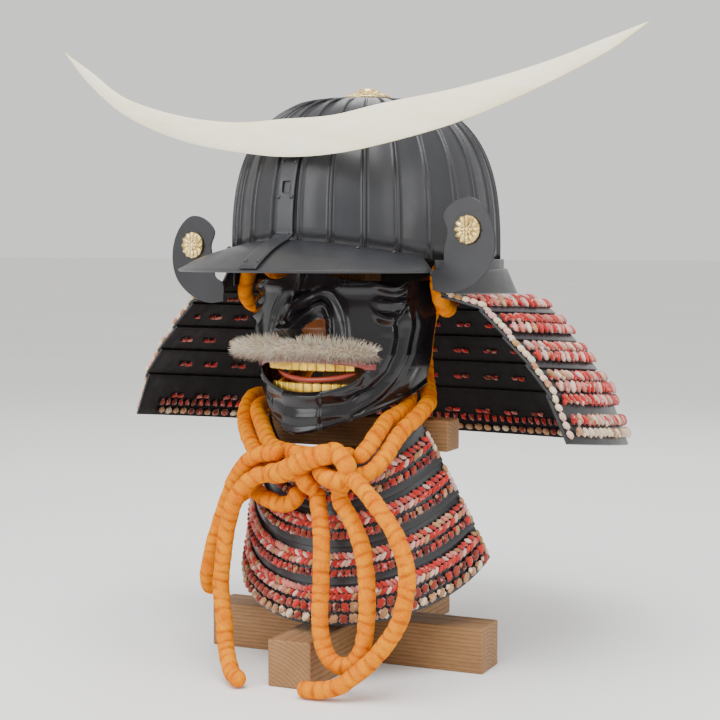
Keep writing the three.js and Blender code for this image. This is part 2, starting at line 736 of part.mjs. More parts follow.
const cordRoutes = {
  cord_right_outer: [
    [63.4, -121, 170],
    [68.5, -121, 170],
    [76, -116.8, 173.8],
    [81.8, -105, 184.5],
    [84, -88, 200],
    [87, -66, 212],
    [85, -45, 220],
    [77, -28, 222],
    [67, -13, 234],
    [60, -5, 254],
    [58, 1, 276],
    [66, -2, 297],
    [82, -12, 304],
    [91, -21, 300.5],
    [96, -31, 298.5],
    [97.5, -41, 302.5],
    [97.5, -46, 311.5],
    [95.5, -45.5, 322.5],
    [94, -40, 335],
  ],
  cord_right_inner: [
    [63.4, -121, 185],
    [68, -121, 185.7],
    [71.5, -115.5, 191],
    [72, -103, 200],
    [70, -82, 210],
    [70, -64, 214],
    [66, -46, 217],
    [60, -31, 227],
    [50, -20, 244],
    [45, -12, 266],
    [46, -10, 290],
    [60, -8, 314],
    [84, -14, 325],
    [99, -16, 335],
  ],
  cord_left_outer: [
    [4.4, -121, 170],
    [-5, -121, 170],
    [-24, -121, 173.6],
    [-46, -107.5, 185.4],
    [-67, -88, 197],
    [-79, -72, 209.5],
    [-83, -56, 219.5],
    [-81, -40, 221.5],
    [-75, -26, 225],
    [-66, -13, 237],
    [-60, -4, 255],
    [-58, 1, 276],
    [-66, -2, 297],
    [-82, -12, 304],
    [-91, -21, 300.5],
    [-96, -31, 298.5],
    [-97.5, -41, 302.5],
    [-97.5, -46, 311.5],
    [-95.5, -45.5, 322.5],
    [-94, -40, 335],
  ],
  cord_left_inner: [
    [4.4, -121, 185],
    [-5, -121, 185],
    [-23, -114, 188.5],
    [-44, -96, 201],
    [-61, -79, 211],
    [-67, -63, 214.8],
    [-64, -47, 215.8],
    [-58, -31, 228],
    [-50, -20, 245],
    [-45, -12, 266],
    [-46, -10, 290],
    [-60, -8, 314],
    [-84, -14, 325],
    [-99, -16, 335],
  ],
  cord_bow_side: [
    [4.4, -135.4, 185],
    [-5, -135.4, 185],
    [-24, -136, 180],
    [-42, -133, 164],
    [-56, -131, 138],
    [-67, -131, 110],
    [-74.5, -129.5, 88],
    [-77.5, -128.5, 75.5],
    [-80.5, -123, 67],
    [-83, -115, 64.3],
    [-85, -107, 67],
    [-85.5, -101.5, 75.5],
    [-83.5, -100.5, 88],
    [-75, -102, 118],
    [-62, -110, 138],
    [-38, -121, 150],
    [-14, -127, 144],
    [0, -127.5, 142],
    [9.5, -127, 146.5],
    [13, -127, 154],
    [13.5, -127, 158.4],
  ],
  cord_bow_front: [
    [32, -127, 158.4],
    [32, -127, 151],
    [41, -136, 128],
    [46, -143, 92],
    [48, -148, 58],
    [51, -149, 40],
    [58.5, -149.5, 28],
    [68.5, -149.5, 24],
    [79, -149, 27.5],
    [87, -148, 39.5],
    [89.5, -146, 58],
    [87, -141, 89],
    [78.5, -136, 118],
    [65, -130.5, 137],
    [55, -127.5, 147.5],
    [52, -127, 154],
    [52, -127, 158.4],
  ],
  cord_end_left: [
    [4.4, -135.4, 168],
    [-4, -135.8, 168],
    [-19, -141.5, 164.5],
    [-33, -146, 150],
    [-42, -147, 126],
    [-47, -147, 98],
    [-49, -148, 74],
    [-44, -151, 48],
    [-37, -157, 24],
    [-25, -166, 10],
    [-8, -177, 7.4],
  ],
  cord_end_right: [
    [63.4, -135.4, 169],
    [70, -135.6, 168.8],
    [88, -143.5, 160.5],
    [106, -147, 145],
    [118, -147, 128],
    [126, -147, 107],
    [126, -148, 84],
    [120, -150, 62],
    [108, -153, 43],
    [93, -158, 26],
    [75, -165, 12],
    [57, -169, 7.6],
    [42, -170, 7.4],
  ],
};

function cordTube(route) {
  const curve = new THREE.CatmullRomCurve3(route.map((p) => vec(...p)), false, "centripetal");
  const corners = range(cordSides).map((k) => {
    const angle = ((k + 0.5) / cordSides) * 2 * Math.PI;
    return new THREE.Vector2(Math.cos(angle), Math.sin(angle)).multiplyScalar(cordDiameter / 2);
  });
  const steps = Math.round(curve.getLength() / (2 * cordDiameter));
  return new THREE.ExtrudeGeometry(new THREE.Shape(corners), {
    steps,
    bevelEnabled: false,
    extrudePath: curve,
  });
}

function knotBlock() {
  const { width, height, depth, bevel } = knot;
  const [x, z] = [width / 2, height / 2];
  const outline = [
    [-x + bevel, -z],
    [x - bevel, -z],
    [x, -z + bevel],
    [x, z - bevel],
    [x - bevel, z],
    [-x + bevel, z],
    [-x, z - bevel],
    [-x, -z + bevel],
  ].map(([a, b]) => new THREE.Vector2(a, b));
  const block = new THREE.ExtrudeGeometry(new THREE.Shape(outline), { depth, bevelEnabled: false });
  return block.rotateX(Math.PI / 2).translate(knot.x, knot.y + depth / 2, knot.z);
}

// Assembly

const kabuto = new THREE.Group();
kabuto.add(piece("bowl", bowl(), "lacquer"));
kabuto.add(piece("top_finial", finial(), "gilt"));
kabuto.add(piece("visor", visor(), "lacquer"));
kabuto.add(piece("front_strap", strap(), "lacquer"));
kabuto.add(piece("crest_socket", crestSocket(), "lacquer"));
kabuto.add(piece("crescent_crest", crest(), "paleGold"));
for (const [name, side] of [["left", 1], ["right", -1]]) {
  kabuto.add(piece("wing_" + name, wing(side, wingLift[name]), "lacquer"));
  kabuto.add(piece("rosette_" + name, rosetteDisc(side, wingLift[name]), "gilt"));
}
kabuto.add(neckGuard());
kabuto.add(piece("mask_shell", maskShell(), "blackLacquer"));
kabuto.add(piece("upper_teeth", teeth(247, 262), "gilt"));
kabuto.add(piece("lower_teeth", teeth(238, 222), "gilt"));
kabuto.add(piece("moustache", moustache(), "hair"));
kabuto.add(throatGuard());
kabuto.add(stand(), ...upperPost());
kabuto.add(piece("chin_cord_knot", knotBlock(), "orangeCord"));
for (const [name, route] of Object.entries(cordRoutes)) {
  kabuto.add(piece(name, cordTube(route), "orangeCord"));
}

export default kabuto;
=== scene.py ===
import math
import random

import bmesh
import bpy
from mathutils import Matrix, Vector, noise


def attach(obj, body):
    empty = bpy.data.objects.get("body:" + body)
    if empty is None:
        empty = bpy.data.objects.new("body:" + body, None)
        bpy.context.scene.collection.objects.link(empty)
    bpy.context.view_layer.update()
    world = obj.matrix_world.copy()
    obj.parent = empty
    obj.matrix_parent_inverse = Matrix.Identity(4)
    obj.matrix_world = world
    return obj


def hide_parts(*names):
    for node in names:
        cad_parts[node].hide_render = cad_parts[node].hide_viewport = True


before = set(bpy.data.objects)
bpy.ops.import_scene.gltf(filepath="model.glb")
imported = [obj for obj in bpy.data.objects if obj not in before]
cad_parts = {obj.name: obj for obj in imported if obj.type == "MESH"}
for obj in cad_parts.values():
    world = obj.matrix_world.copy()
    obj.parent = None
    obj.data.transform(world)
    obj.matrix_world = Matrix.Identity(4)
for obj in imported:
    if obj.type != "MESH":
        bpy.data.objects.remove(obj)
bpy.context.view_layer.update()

# Kabuto on its stand. Metres, Z up, the face looks along -Y and the wearer's left is +X.

# small helpers

def mix(a, b, t):
    return a + (b - a) * t


def clamp(value, low=0.0, high=1.0):
    return min(high, max(low, value))


def hump(x, centre, width):  # a smooth bump of height 1
    return math.exp(-(((x - centre) / width) ** 2))


def tableAt(rows, key, column):  # column of a table at key, its first column, which runs one way
    rising = rows[-1][0] > rows[0][0]
    for a, b in zip(rows, rows[1:]):
        if (a[0] <= key <= b[0]) if rising else (b[0] <= key <= a[0]):
            return mix(a[column], b[column], (key - a[0]) / (b[0] - a[0]))
    first = (key < rows[0][0]) == rising
    return rows[0 if first else -1][column]


def smoothRoute(points, step):  # centripetal spline through points, evened out to one step
    points = [Vector(p) for p in points]
    points = [2 * points[0] - points[1], *points, 2 * points[-1] - points[-2]]
    fine = []
    for a, b, c, d in zip(points, points[1:], points[2:], points[3:]):
        t0, t1 = 0, math.sqrt((b - a).length)
        t2 = t1 + math.sqrt((c - b).length)
        t3 = t2 + math.sqrt((d - c).length)
        count = max(4, int((c - b).length / step * 2))
        for i in range(count):
            t = mix(t1, t2, i / count)
            ab = a.lerp(b, (t - t0) / (t1 - t0))
            bc = b.lerp(c, (t - t1) / (t2 - t1))
            cd = c.lerp(d, (t - t2) / (t3 - t2))
            first, second = ab.lerp(bc, (t - t0) / (t2 - t0)), bc.lerp(cd, (t - t1) / (t3 - t1))
            fine.append(first.lerp(second, (t - t1) / (t2 - t1)))
    fine.append(points[-2])
    total = routeLength(fine)
    count = max(2, round(total / step))
    even, walked, i = [fine[0]], 0, 0
    for k in range(1, count):
        goal = total * k / count
        while walked + (fine[i + 1] - fine[i]).length < goal:
            walked += (fine[i + 1] - fine[i]).length
            i += 1
        span = (fine[i + 1] - fine[i]).length
        even.append(fine[i].lerp(fine[i + 1], (goal - walked) / span))
    return [*even, fine[-1]]


def routeLength(points):
    return sum((b - a).length for a, b in zip(points, points[1:]))


def addObject(name, data):
    thing = bpy.data.objects.new(name, data)
    bpy.context.scene.collection.objects.link(thing)
    return thing


def meshOf(bm, name):
    mesh = bpy.data.meshes.new(name)
    bm.to_mesh(mesh)
    bm.free()
    return mesh


def welded(bm, name, weld=1e-5):
    bmesh.ops.remove_doubles(bm, verts=bm.verts, dist=weld)
    bmesh.ops.recalc_face_normals(bm, faces=bm.faces)
    return meshOf(bm, name)


def addPiece(mesh, materials, slotName, *replaced, smooth=True):  # a piece that goes by its mesh's name
    piece = addObject(mesh.name, mesh)
    for material in materials:
        mesh.materials.append(material)
    for face in mesh.polygons:
        face.use_smooth = smooth
    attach(piece, "root")
    if replaced:
        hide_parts(*replaced)
    return piece


def faceAlong(piece, direction):  # turns an open sheet's faces to look that way
    if sum(face.normal.dot(direction) * face.area for face in piece.data.polygons) < 0:
        piece.data.flip_normals()


def thicken(piece, wall, easing=0.0, offset=-1, **settings):  # a sheet into a plate, with its edges eased
    addModifier(piece, "SOLIDIFY", thickness=wall, offset=offset, **settings)
    if easing:
        addModifier(piece, "BEVEL", width=easing, segments=2, limit_method="ANGLE")


def gridSheet(columns, rows, place):  # a grid laid over place(u, v), with u and v from 0 to 1
    bm = bmesh.new()
    uvLayer = bm.loops.layers.uv.new("UVMap")
    bmesh.ops.create_grid(bm, x_segments=columns, y_segments=rows, size=0.5)
    for face in bm.faces:
        for loop in face.loops:
            loop[uvLayer].uv = (loop.vert.co.x + 0.5, loop.vert.co.y + 0.5)
    for vert in bm.verts:
        vert.co = place(clamp(vert.co.x + 0.5), clamp(vert.co.y + 0.5))
    return bm


def addModifier(piece, kind, **settings):
    modifier = piece.modifiers.new(kind.title(), kind)
    for key, value in settings.items():
        setattr(modifier, key, value)
    return modifier


# node helpers

def addNode(tree, kind, values=None, **settings):
    node = tree.nodes.new(kind)
    for key, value in settings.items():
        setattr(node, key, value)
    for key, value in (values or {}).items():
        node.inputs[key].default_value = value
    return node


def newMaterial(name, constants):
    material = bpy.data.materials.new(name)
    material.use_nodes = True
    shader = material.node_tree.nodes["Principled BSDF"]
    for key, value in constants.items():
        shader.inputs[key].default_value = value
    return material, material.node_tree, shader


def placed(tree, coordinates="Object", scale=(1, 1, 1), turn=(0, 0, 0), move=(0, 0, 0)):
    source = addNode(tree, "ShaderNodeTexCoord")
    mapping = addNode(tree, "ShaderNodeMapping", {"Scale": scale, "Rotation": turn, "Location": move})
    tree.links.new(source.outputs[coordinates], mapping.inputs["Vector"])
    return mapping.outputs["Vector"]


def noiseAt(tree, vector, scale, detail=3.0, roughness=0.55, distortion=0.0):
    values = {"Scale": scale, "Detail": detail, "Roughness": roughness, "Distortion": distortion}
    node = addNode(tree, "ShaderNodeTexNoise", values)
    tree.links.new(vector, node.inputs["Vector"])
    return node.outputs["Fac"]


def rampOf(tree, factor, stops):
    node = addNode(tree, "ShaderNodeValToRGB")
    elements = node.color_ramp.elements
    while len(elements) < len(stops):
        elements.new(0.5)
    for element, (place, colour) in zip(elements, stops):
        element.position = place
        element.color = (*colour, 1)
    tree.links.new(factor, node.inputs["Fac"])
    return node.outputs["Color"]


def greyRamp(tree, factor, low, high, start=0.3, end=0.7):
    return rampOf(tree, factor, [(start, (low,) * 3), (end, (high,) * 3)])


def blended(tree, a, b, factor, kind="MIX"):
    node = addNode(tree, "ShaderNodeMix", data_type="RGBA", blend_type=kind)
    for socket, value in (("Factor", factor), ("A", a), ("B", b)):
        slots = [s for s in node.inputs if s.name == socket and s.enabled]
        if isinstance(value, bpy.types.NodeSocket):
            tree.links.new(value, slots[0])
        else:
            slots[0].default_value = value
    return [s for s in node.outputs if s.enabled][0]


def tinted(tree):  # the tint that each stroke or hair carries
    return addNode(tree, "ShaderNodeAttribute", attribute_name="tint").outputs["Color"]


def dress(tree, shader, colour, roughness=None):
    tree.links.new(colour, shader.inputs["Base Color"])
    if roughness is not None:
        tree.links.new(roughness, shader.inputs["Roughness"])


def bumped(tree, shader, height, strength, distance, under=None):
    node = addNode(tree, "ShaderNodeBump", {"Strength": strength, "Distance": distance})
    tree.links.new(height, node.inputs["Height"])
    if under is not None:
        tree.links.new(under, node.inputs["Normal"])
    tree.links.new(node.outputs["Normal"], shader.inputs["Normal"])
    return node.outputs["Normal"]


# camera, light and floor

viewpoint = {
    "azimuth": 32,
    "elevation": 4,
    "distance": 1.4,
    "target": (0, 0, 0.2514),
    "lens": 80.5,
    "shift": -8 / 720,
}


def makeCamera():
    data = bpy.data.cameras.new("camera")
    data.lens = viewpoint["lens"]
    data.shift_x = viewpoint["shift"]
    camera = addObject("camera", data)
    across, up = math.radians(viewpoint["azimuth"]), math.radians(viewpoint["elevation"])
    back = Vector((math.sin(across) * math.cos(up), -math.cos(across) * math.cos(up), math.sin(up)))
    camera.location = Vector(viewpoint["target"]) + viewpoint["distance"] * back
    camera.rotation_euler = (-back).to_track_quat("-Z", "Y").to_euler()
    bpy.context.scene.camera = camera


softboxes = {  # place, size in metres, watts
    "overhead": ((0.35, -0.75, 1.75), 1.3, 40),
    "frontLeft": ((-0.65, -1.75, 0.95), 1.1, 18),
    "right": ((1.75, -0.35, 0.85), 0.9, 9),
    "rim": ((-0.5, 1.4, 1.3), 1.0, 8),
}


def makeLights():
    for name, (place, size, watts) in softboxes.items():
        data = bpy.data.lights.new(name, "AREA")
        data.size = size
        data.energy = watts
        lamp = addObject(name, data)
        lamp.location = place
        lamp.rotation_euler = (Vector((0, 0, 0.28)) - Vector(place)).to_track_quat("-Z", "Y").to_euler()
    world = bpy.data.worlds.new("studio")
    bpy.context.scene.world = world
    world.use_nodes = True
    background = world.node_tree.nodes["Background"]
    background.inputs["Color"].default_value = (1, 0.99, 0.97, 1)
    background.inputs["Strength"].default_value = 1.0


def makeFloor():
    bm = bmesh.new()
    bmesh.ops.create_grid(bm, x_segments=2, y_segments=2, size=40)
    floor = addObject("floor", meshOf(bm, "floor"))
    material, tree, shader = newMaterial("paleFloor", {"Roughness": 0.8})
    patches = noiseAt(tree, placed(tree), 1.5)
    dress(tree, shader, rampOf(tree, patches, [(0.3, (0.86, 0.86, 0.85)), (0.7, (0.9, 0.9, 0.89))]))
    floor.data.materials.append(material)


makeCamera()
makeLights()
makeFloor()
print("camera, lights and floor set")

outerLoop = [  # up from behind the jaw, round the cheek and into the bowl's rim
    (0.058, 0.001, 0.276), (0.066, -0.002, 0.297), (0.082, -0.012, 0.304), (0.091, -0.021, 0.3005),
    (0.096, -0.031, 0.2985), (0.0975, -0.041, 0.3025), (0.0975, -0.046, 0.3115),
    (0.0955, -0.0455, 0.3225), (0.094, -0.04, 0.335),
]
innerLoop = [
    (0.045, -0.012, 0.266), (0.046, -0.01, 0.29), (0.06, -0.008, 0.314), (0.084, -0.014, 0.325),
    (0.099, -0.016, 0.335),
]


def mirrored(points):
    return [(-x, y, z) for x, y, z in points]


cordRoutes = {  # the same points as the solids, in metres
    "cord_right_outer": [
        (0.0634, -0.121, 0.17), (0.0685, -0.121, 0.17), (0.076, -0.1168, 0.1738), (0.0818, -0.105, 0.1845),
        (0.084, -0.088, 0.2), (0.087, -0.066, 0.212), (0.085, -0.045, 0.22), (0.077, -0.028, 0.222),
        (0.067, -0.013, 0.234), (0.06, -0.005, 0.254), *outerLoop,
    ],
    "cord_right_inner": [
        (0.0634, -0.121, 0.185), (0.068, -0.121, 0.1857), (0.0715, -0.1155, 0.191), (0.072, -0.103, 0.2),
        (0.07, -0.082, 0.21), (0.07, -0.064, 0.214), (0.066, -0.046, 0.217), (0.06, -0.031, 0.227),
        (0.05, -0.02, 0.244), *innerLoop,
    ],
    "cord_left_outer": [
        (0.0044, -0.121, 0.17), (-0.005, -0.121, 0.17), (-0.024, -0.121, 0.1736),
        (-0.046, -0.1075, 0.1854), (-0.067, -0.088, 0.197), (-0.079, -0.072, 0.2095),
        (-0.083, -0.056, 0.2195), (-0.081, -0.04, 0.2215), (-0.075, -0.026, 0.225),
        (-0.066, -0.013, 0.237), (-0.06, -0.004, 0.255), *mirrored(outerLoop),
    ],
    "cord_left_inner": [
        (0.0044, -0.121, 0.185), (-0.005, -0.121, 0.185), (-0.023, -0.114, 0.1885),
        (-0.044, -0.096, 0.201), (-0.061, -0.079, 0.211), (-0.067, -0.063, 0.2148),
        (-0.064, -0.047, 0.2158), (-0.058, -0.031, 0.228), (-0.05, -0.02, 0.245), *mirrored(innerLoop),
    ],
    "cord_bow_side": [
        (0.0044, -0.1354, 0.185), (-0.005, -0.1354, 0.185), (-0.024, -0.136, 0.18),
        (-0.042, -0.133, 0.164), (-0.056, -0.131, 0.138), (-0.067, -0.131, 0.11),
        (-0.0745, -0.1295, 0.088), (-0.0775, -0.1285, 0.0755), (-0.0805, -0.123, 0.067),
        (-0.083, -0.115, 0.0643), (-0.085, -0.107, 0.067), (-0.0855, -0.1015, 0.0755),
        (-0.0835, -0.1005, 0.088), (-0.075, -0.102, 0.118), (-0.062, -0.11, 0.138), (-0.038, -0.121, 0.15),
        (-0.014, -0.127, 0.144), (0, -0.1275, 0.142), (0.0095, -0.127, 0.1465), (0.013, -0.127, 0.154),
        (0.0135, -0.127, 0.1584),
    ],
    "cord_bow_front": [
        (0.032, -0.127, 0.1584), (0.032, -0.127, 0.151), (0.041, -0.136, 0.128), (0.046, -0.143, 0.092),
        (0.048, -0.148, 0.058), (0.051, -0.149, 0.04), (0.0585, -0.1495, 0.028), (0.0685, -0.1495, 0.024),
        (0.079, -0.149, 0.0275), (0.087, -0.148, 0.0395), (0.0895, -0.146, 0.058), (0.087, -0.141, 0.089),
        (0.0785, -0.136, 0.118), (0.065, -0.1305, 0.137), (0.055, -0.1275, 0.1475), (0.052, -0.127, 0.154),
        (0.052, -0.127, 0.1584),
    ],
    "cord_end_left": [
        (0.0044, -0.1354, 0.168), (-0.004, -0.1358, 0.168), (-0.019, -0.1415, 0.1645),
        (-0.033, -0.146, 0.15), (-0.042, -0.147, 0.126), (-0.047, -0.147, 0.098), (-0.049, -0.148, 0.074),
        (-0.044, -0.151, 0.048), (-0.037, -0.157, 0.024), (-0.025, -0.166, 0.01), (-0.008, -0.177, 0.0074),
    ],
    "cord_end_right": [
        (0.0634, -0.1354, 0.169), (0.07, -0.1356, 0.1688), (0.088, -0.1435, 0.1605),
        (0.106, -0.147, 0.145), (0.118, -0.147, 0.128), (0.126, -0.147, 0.107), (0.126, -0.148, 0.084),
        (0.12, -0.15, 0.062), (0.108, -0.153, 0.043), (0.093, -0.158, 0.026), (0.075, -0.165, 0.012),
        (0.057, -0.169, 0.0076), (0.042, -0.17, 0.0074),
    ],
}

knotStrands = [  # width of each strand of the bow's knot as a share of the cord's, and its route
    (1.24, [(-0.010, -0.133, 0.169), (0.003, -0.1415, 0.169), (0.018, -0.144, 0.175),
            (0.034, -0.143, 0.183), (0.047, -0.138, 0.187), (0.054, -0.127, 0.187)]),
    (1.14, [(0.042, -0.124, 0.188), (0.054, -0.133, 0.188), (0.064, -0.136, 0.182),
            (0.065, -0.135, 0.172), (0.058, -0.132, 0.163), (0.050, -0.126, 0.158)]),
    (1.05, [(0.020, -0.126, 0.186), (0.022, -0.134, 0.180), (0.024, -0.137, 0.170),
            (0.028, -0.135, 0.161), (0.032, -0.128, 0.157)]),
    (1.08, [(0.034, -0.129, 0.176), (0.044, -0.136, 0.170), (0.055, -0.138, 0.167),
            (0.066, -0.1354, 0.168)]),
    (1.1, [(0.002, -0.124, 0.184), (0.012, -0.128, 0.184), (0.024, -0.126, 0.183),
           (0.036, -0.122, 0.184), (0.050, -0.121, 0.184), (0.064, -0.121, 0.185)]),
    (1.1, [(0.002, -0.124, 0.169), (0.014, -0.124, 0.168), (0.030, -0.122, 0.168),
           (0.046, -0.122, 0.168), (0.064, -0.121, 0.170)]),
]


# chin cord: orange chenille in its stretches, with the bow's knot

chenilleLook = {
    "diameter": 0.014,
    "step": 0.0012,
    "creaseEvery": 0.0085,
    "creaseDepth": 0.065,  # share of the radius
    "lump": 0.085,
    "light": (0.72, 0.25, 0.0),
    "dark": (0.58, 0.11, 0.0),
    "pileLight": (0.98, 0.38, 0.0),
    "pileDark": (0.46, 0.065, 0.0),
    # painted shade: the darker orange laid into the creases between the puffs
    "creaseShade": (0.34, 0.035, 0.0),
}


def chenilleMaterial():
    material, tree, shader = newMaterial("orangeChenille", {"Roughness": 0.95, "Specular IOR Level": 0.04})
    vector = placed(tree)
    coarse, pile = noiseAt(tree, vector, 90), noiseAt(tree, vector, 1400, 2)
    depth = addNode(tree, "ShaderNodeAttribute", attribute_name="crease")
    lit = rampOf(tree, coarse, [(0.3, chenilleLook["dark"]), (0.62, chenilleLook["light"])])
    specks = rampOf(tree, pile, [(0.35, chenilleLook["pileDark"]), (0.65, chenilleLook["pileLight"])])
    speckled = blended(tree, lit, specks, 0.35)
    # painted shade: the crease attribute darkens the creases
    shaded = blended(tree, speckled, (*chenilleLook["creaseShade"], 1), depth.outputs["Fac"])
    dress(tree, shader, shaded)
    bumped(tree, shader, pile, 0.5, 0.0006)
    return material


def chenilleTube(name, points, seed, width=1.0, ends=0.006):
    step, radius = chenilleLook["step"], chenilleLook["diameter"] / 2
    route = smoothRoute(points, step)
    total = routeLength(route)
    data = bpy.data.curves.new(name, "CURVE")
    data.dimensions = "3D"
    data.bevel_depth = radius
    data.bevel_resolution = 8
    spline = data.splines.new("POLY")
    spline.points.add(len(route) - 1)
    for i, (point, place) in enumerate(zip(spline.points, route)):
        point.co = (*place, 1)
        inset = min(i, len(route) - 1 - i) * step
        round_ = math.sqrt(1 - (1 - clamp(inset / ends)) ** 2)
        point.radius = max(0.01, round_) * width
    curve = addObject(name, data)
    graph = bpy.context.evaluated_depsgraph_get()
    mesh = bpy.data.meshes.new_from_object(curve.evaluated_get(graph))
    bpy.data.objects.remove(curve)
    around = len(mesh.vertices) // len(route)
    creases = []
    for k, vert in enumerate(mesh.vertices):
        i = k // around
        middle, out = route[i], vert.co - route[i]
        turn = k % around / around * 2 * math.pi
        s = total * i / (len(route) - 1)
        wander = 0.5 * noise.noise(Vector((s * 60, math.cos(turn) * 0.5, math.sin(turn) * 0.5 + seed)))
        phase = s / chenilleLook["creaseEvery"] + wander
        crease = (0.5 + 0.5 * math.cos(2 * math.pi * phase)) ** 5
        crease *= clamp(0.65 + 0.9 * noise.noise(Vector((math.cos(turn), math.sin(turn), s * 90 + seed))))
        lump = noise.noise(Vector((math.cos(turn) * 0.8 + seed, math.sin(turn) * 0.8, s * 110)))
        scale = 1 - chenilleLook["creaseDepth"] * crease + chenilleLook["lump"] * (lump - 0.25)
        vert.co = middle + out * scale
        # the crease share is kept for the painted shade in the creases
        creases.append(clamp(0.75 * crease))
    layer = mesh.attributes.new("crease", "FLOAT", "POINT")
    layer.data.foreach_set("value", creases)
    return mesh, route


def makeCords():
    material = chenilleMaterial()
    strands = {}
    for seed, (name, points) in enumerate(cordRoutes.items()):
        mesh, route = chenilleTube(name + "_chenille", points, seed * 7.3)
        mesh.name = name + "_chenille"
        strands[name] = (addPiece(mesh, [material], "orange_cord", name), route)
    bm = bmesh.new()
    for seed, (width, points) in enumerate(knotStrands):
        mesh = chenilleTube("knotStrand", points, 50 + seed * 3.1, width)[0]
        bm.from_mesh(mesh)
        bpy.data.meshes.remove(mesh)
    knot = addPiece(meshOf(bm, "bow_knot"), [material], "orange_cord", "chin_cord_knot")
    for name, (piece, route) in strands.items():
        farEnd = {"bow": "object", "end": "bare"}.get(name.split("_")[1], "knot")
        if farEnd == "knot":  # the strands that leave the bowl's rim, drawn here from the knot
            route = route[::-1]
        tuple(route[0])
        round(routeLength(route), 4)
        [tuple(p) for p in [*route[:-4:4], route[-1]]]
        print(name, "is", round(routeLength(route) * 1000), "mm long")


makeCords()
print("chin cord made")

# finishes shared by the metal pieces

def satinLacquer(name, base, rough=0.4, wear=0.25, shine=0.4):
    settings = {"Coat Weight": shine / 2, "Coat Roughness": 0.3, "Specular IOR Level": shine}
    material, tree, shader = newMaterial(name, settings)
    vector = placed(tree)
    cloudy, fine = noiseAt(tree, vector, 14), noiseAt(tree, vector, 420, 4)
    scuff = noiseAt(tree, vector, 60, 6, 0.7)
    light = tuple(c * 1.7 for c in base)
    colour = rampOf(tree, cloudy, [(0.3, base), (0.75, light)])
    bare = (*(min(1, c * 3.2) for c in base), 1)
    worn = blended(tree, colour, bare, greyRamp(tree, scuff, 0, wear, 0.62, 0.74))
    dress(tree, shader, worn, greyRamp(tree, scuff, rough * 0.85, rough * 1.35))
    under = bumped(tree, shader, cloudy, 0.12, 0.002)
    bumped(tree, shader, fine, 0.1, 0.0002, under)
    return material


def giltMaterial(name, base, dark, rough=0.3):
    material, tree, shader = newMaterial(name, {"Metallic": 0.85})
    vector = placed(tree)
    patchy, pits = noiseAt(tree, vector, 120), noiseAt(tree, vector, 900, 3)
    colour = rampOf(tree, patchy, [(0.3, dark), (0.6, base)])
    dress(tree, shader, colour, greyRamp(tree, patchy, rough * 1.4, rough * 0.8))
    bumped(tree, shader, pits, 0.25, 0.0003)
    return material


ironLacquer = satinLacquer("ironLacquer", (0.0125, 0.0130, 0.0155), 0.36)
plateLacquer = satinLacquer("plateLacquer", (0.0115, 0.0118, 0.0140), 0.30)
innerLacquer = satinLacquer("innerLacquer", (0.007, 0.005, 0.005), 0.6, 0.15, 0.12)
brownLacquer = satinLacquer("brownLacquer", (0.075, 0.026, 0.012), 0.45)
gilt = giltMaterial("gilt", (0.86, 0.66, 0.28), (0.42, 0.27, 0.08))

# bowl

bowlShape = {
    "halfWidth": 0.108,
    "halfLength": 0.126,
    "crownZ": 0.476,
    "sideRimZ": 0.336,
    "frontRise": 0.017,
    "bulge": 3,
    "round": 2.8,
    "wall": 0.002,
    "plates": 26,
    "ridge": 0.0026,
    "rows": 44,
    # degrees from a ridge
    "offsets": (0, 0.28, 0.55, 0.8, 1.1, 2.2, 4.4, 6.92, 9.45, 11.65, 12.75, 13.05, 13.3, 13.57),
}


def rimZ(angle):
    return bowlShape["sideRimZ"] + bowlShape["frontRise"] * max(0, math.cos(angle)) ** 2


def bowlPoint(angle, rise, out=0.0):
    z = mix(rimZ(angle), bowlShape["crownZ"], rise)
    up = clamp((z - bowlShape["sideRimZ"]) / (bowlShape["crownZ"] - bowlShape["sideRimZ"]))
    share = (1 - up ** bowlShape["bulge"]) ** (1 / bowlShape["round"])
    flat = share * share
    slant = math.hypot(flat, 1 - flat)
    side = out * flat / slant
    x = (bowlShape["halfWidth"] * share + side) * math.sin(angle)
    y = -(bowlShape["halfLength"] * share + side) * math.cos(angle)
    return Vector((x, y, z + out * (1 - flat) / slant))


def makeBowl():
    step = 360 / bowlShape["plates"]
    ridges = [(k + 0.5) * step for k in range(bowlShape["plates"])]
    angles = [math.radians(ridge + offset) for ridge in ridges for offset in bowlShape["offsets"]]
    angles.append(angles[0] + 2 * math.pi)

    def place(u, v):
        angle = angles[round(u * (len(angles) - 1))]
        rise = math.sin(v * math.pi / 2) ** (2 / bowlShape["bulge"])
        offset = abs((math.degrees(angle) / step - 0.5 + 0.5) % 1 - 0.5) * step
        sharp = 1 - clamp((offset - 0.3) / 0.75) ** 1.5
        hollow = 0.0005 * math.sin(clamp(offset / step * 2) * math.pi) * clamp(4 * (1 - rise))
        return bowlPoint(angle, rise, bowlShape["ridge"] * sharp * min(1, (1 - rise) * 18) - hollow * 0.6)

    bm = gridSheet(len(angles) - 1, bowlShape["rows"], place)
    bowl = addPiece(welded(bm, "ribbed_bowl"), [ironLacquer, innerLacquer], "dark_lacquer", "bowl")
    thicken(bowl, bowlShape["wall"], material_offset=1)


makeBowl()
print("bowl made")

# visor with the strap down the front

visorShape = {
    "halfAngle": 58,
    "reach": 0.048,
    "edgeZ": 0.331,
    "crown": 0.003,
    "wall": 0.002,
    "gap": 0.0003,
    "rivets": (-0.78, -0.55, 0.55, 0.78),  # shares across
}
strapShape = {
    "width": 0.017,
    "top": 0.56,
    "wall": 0.002,
    "hole": (0.0035, 0.3925, 0.4015),  # half width, lowest, highest
    "rivet": 0.0019,
    "rivetX": 0.0062,
    "rivetRows": (0.34, 0.62, 0.06, 0.93),  # shares down its length
}


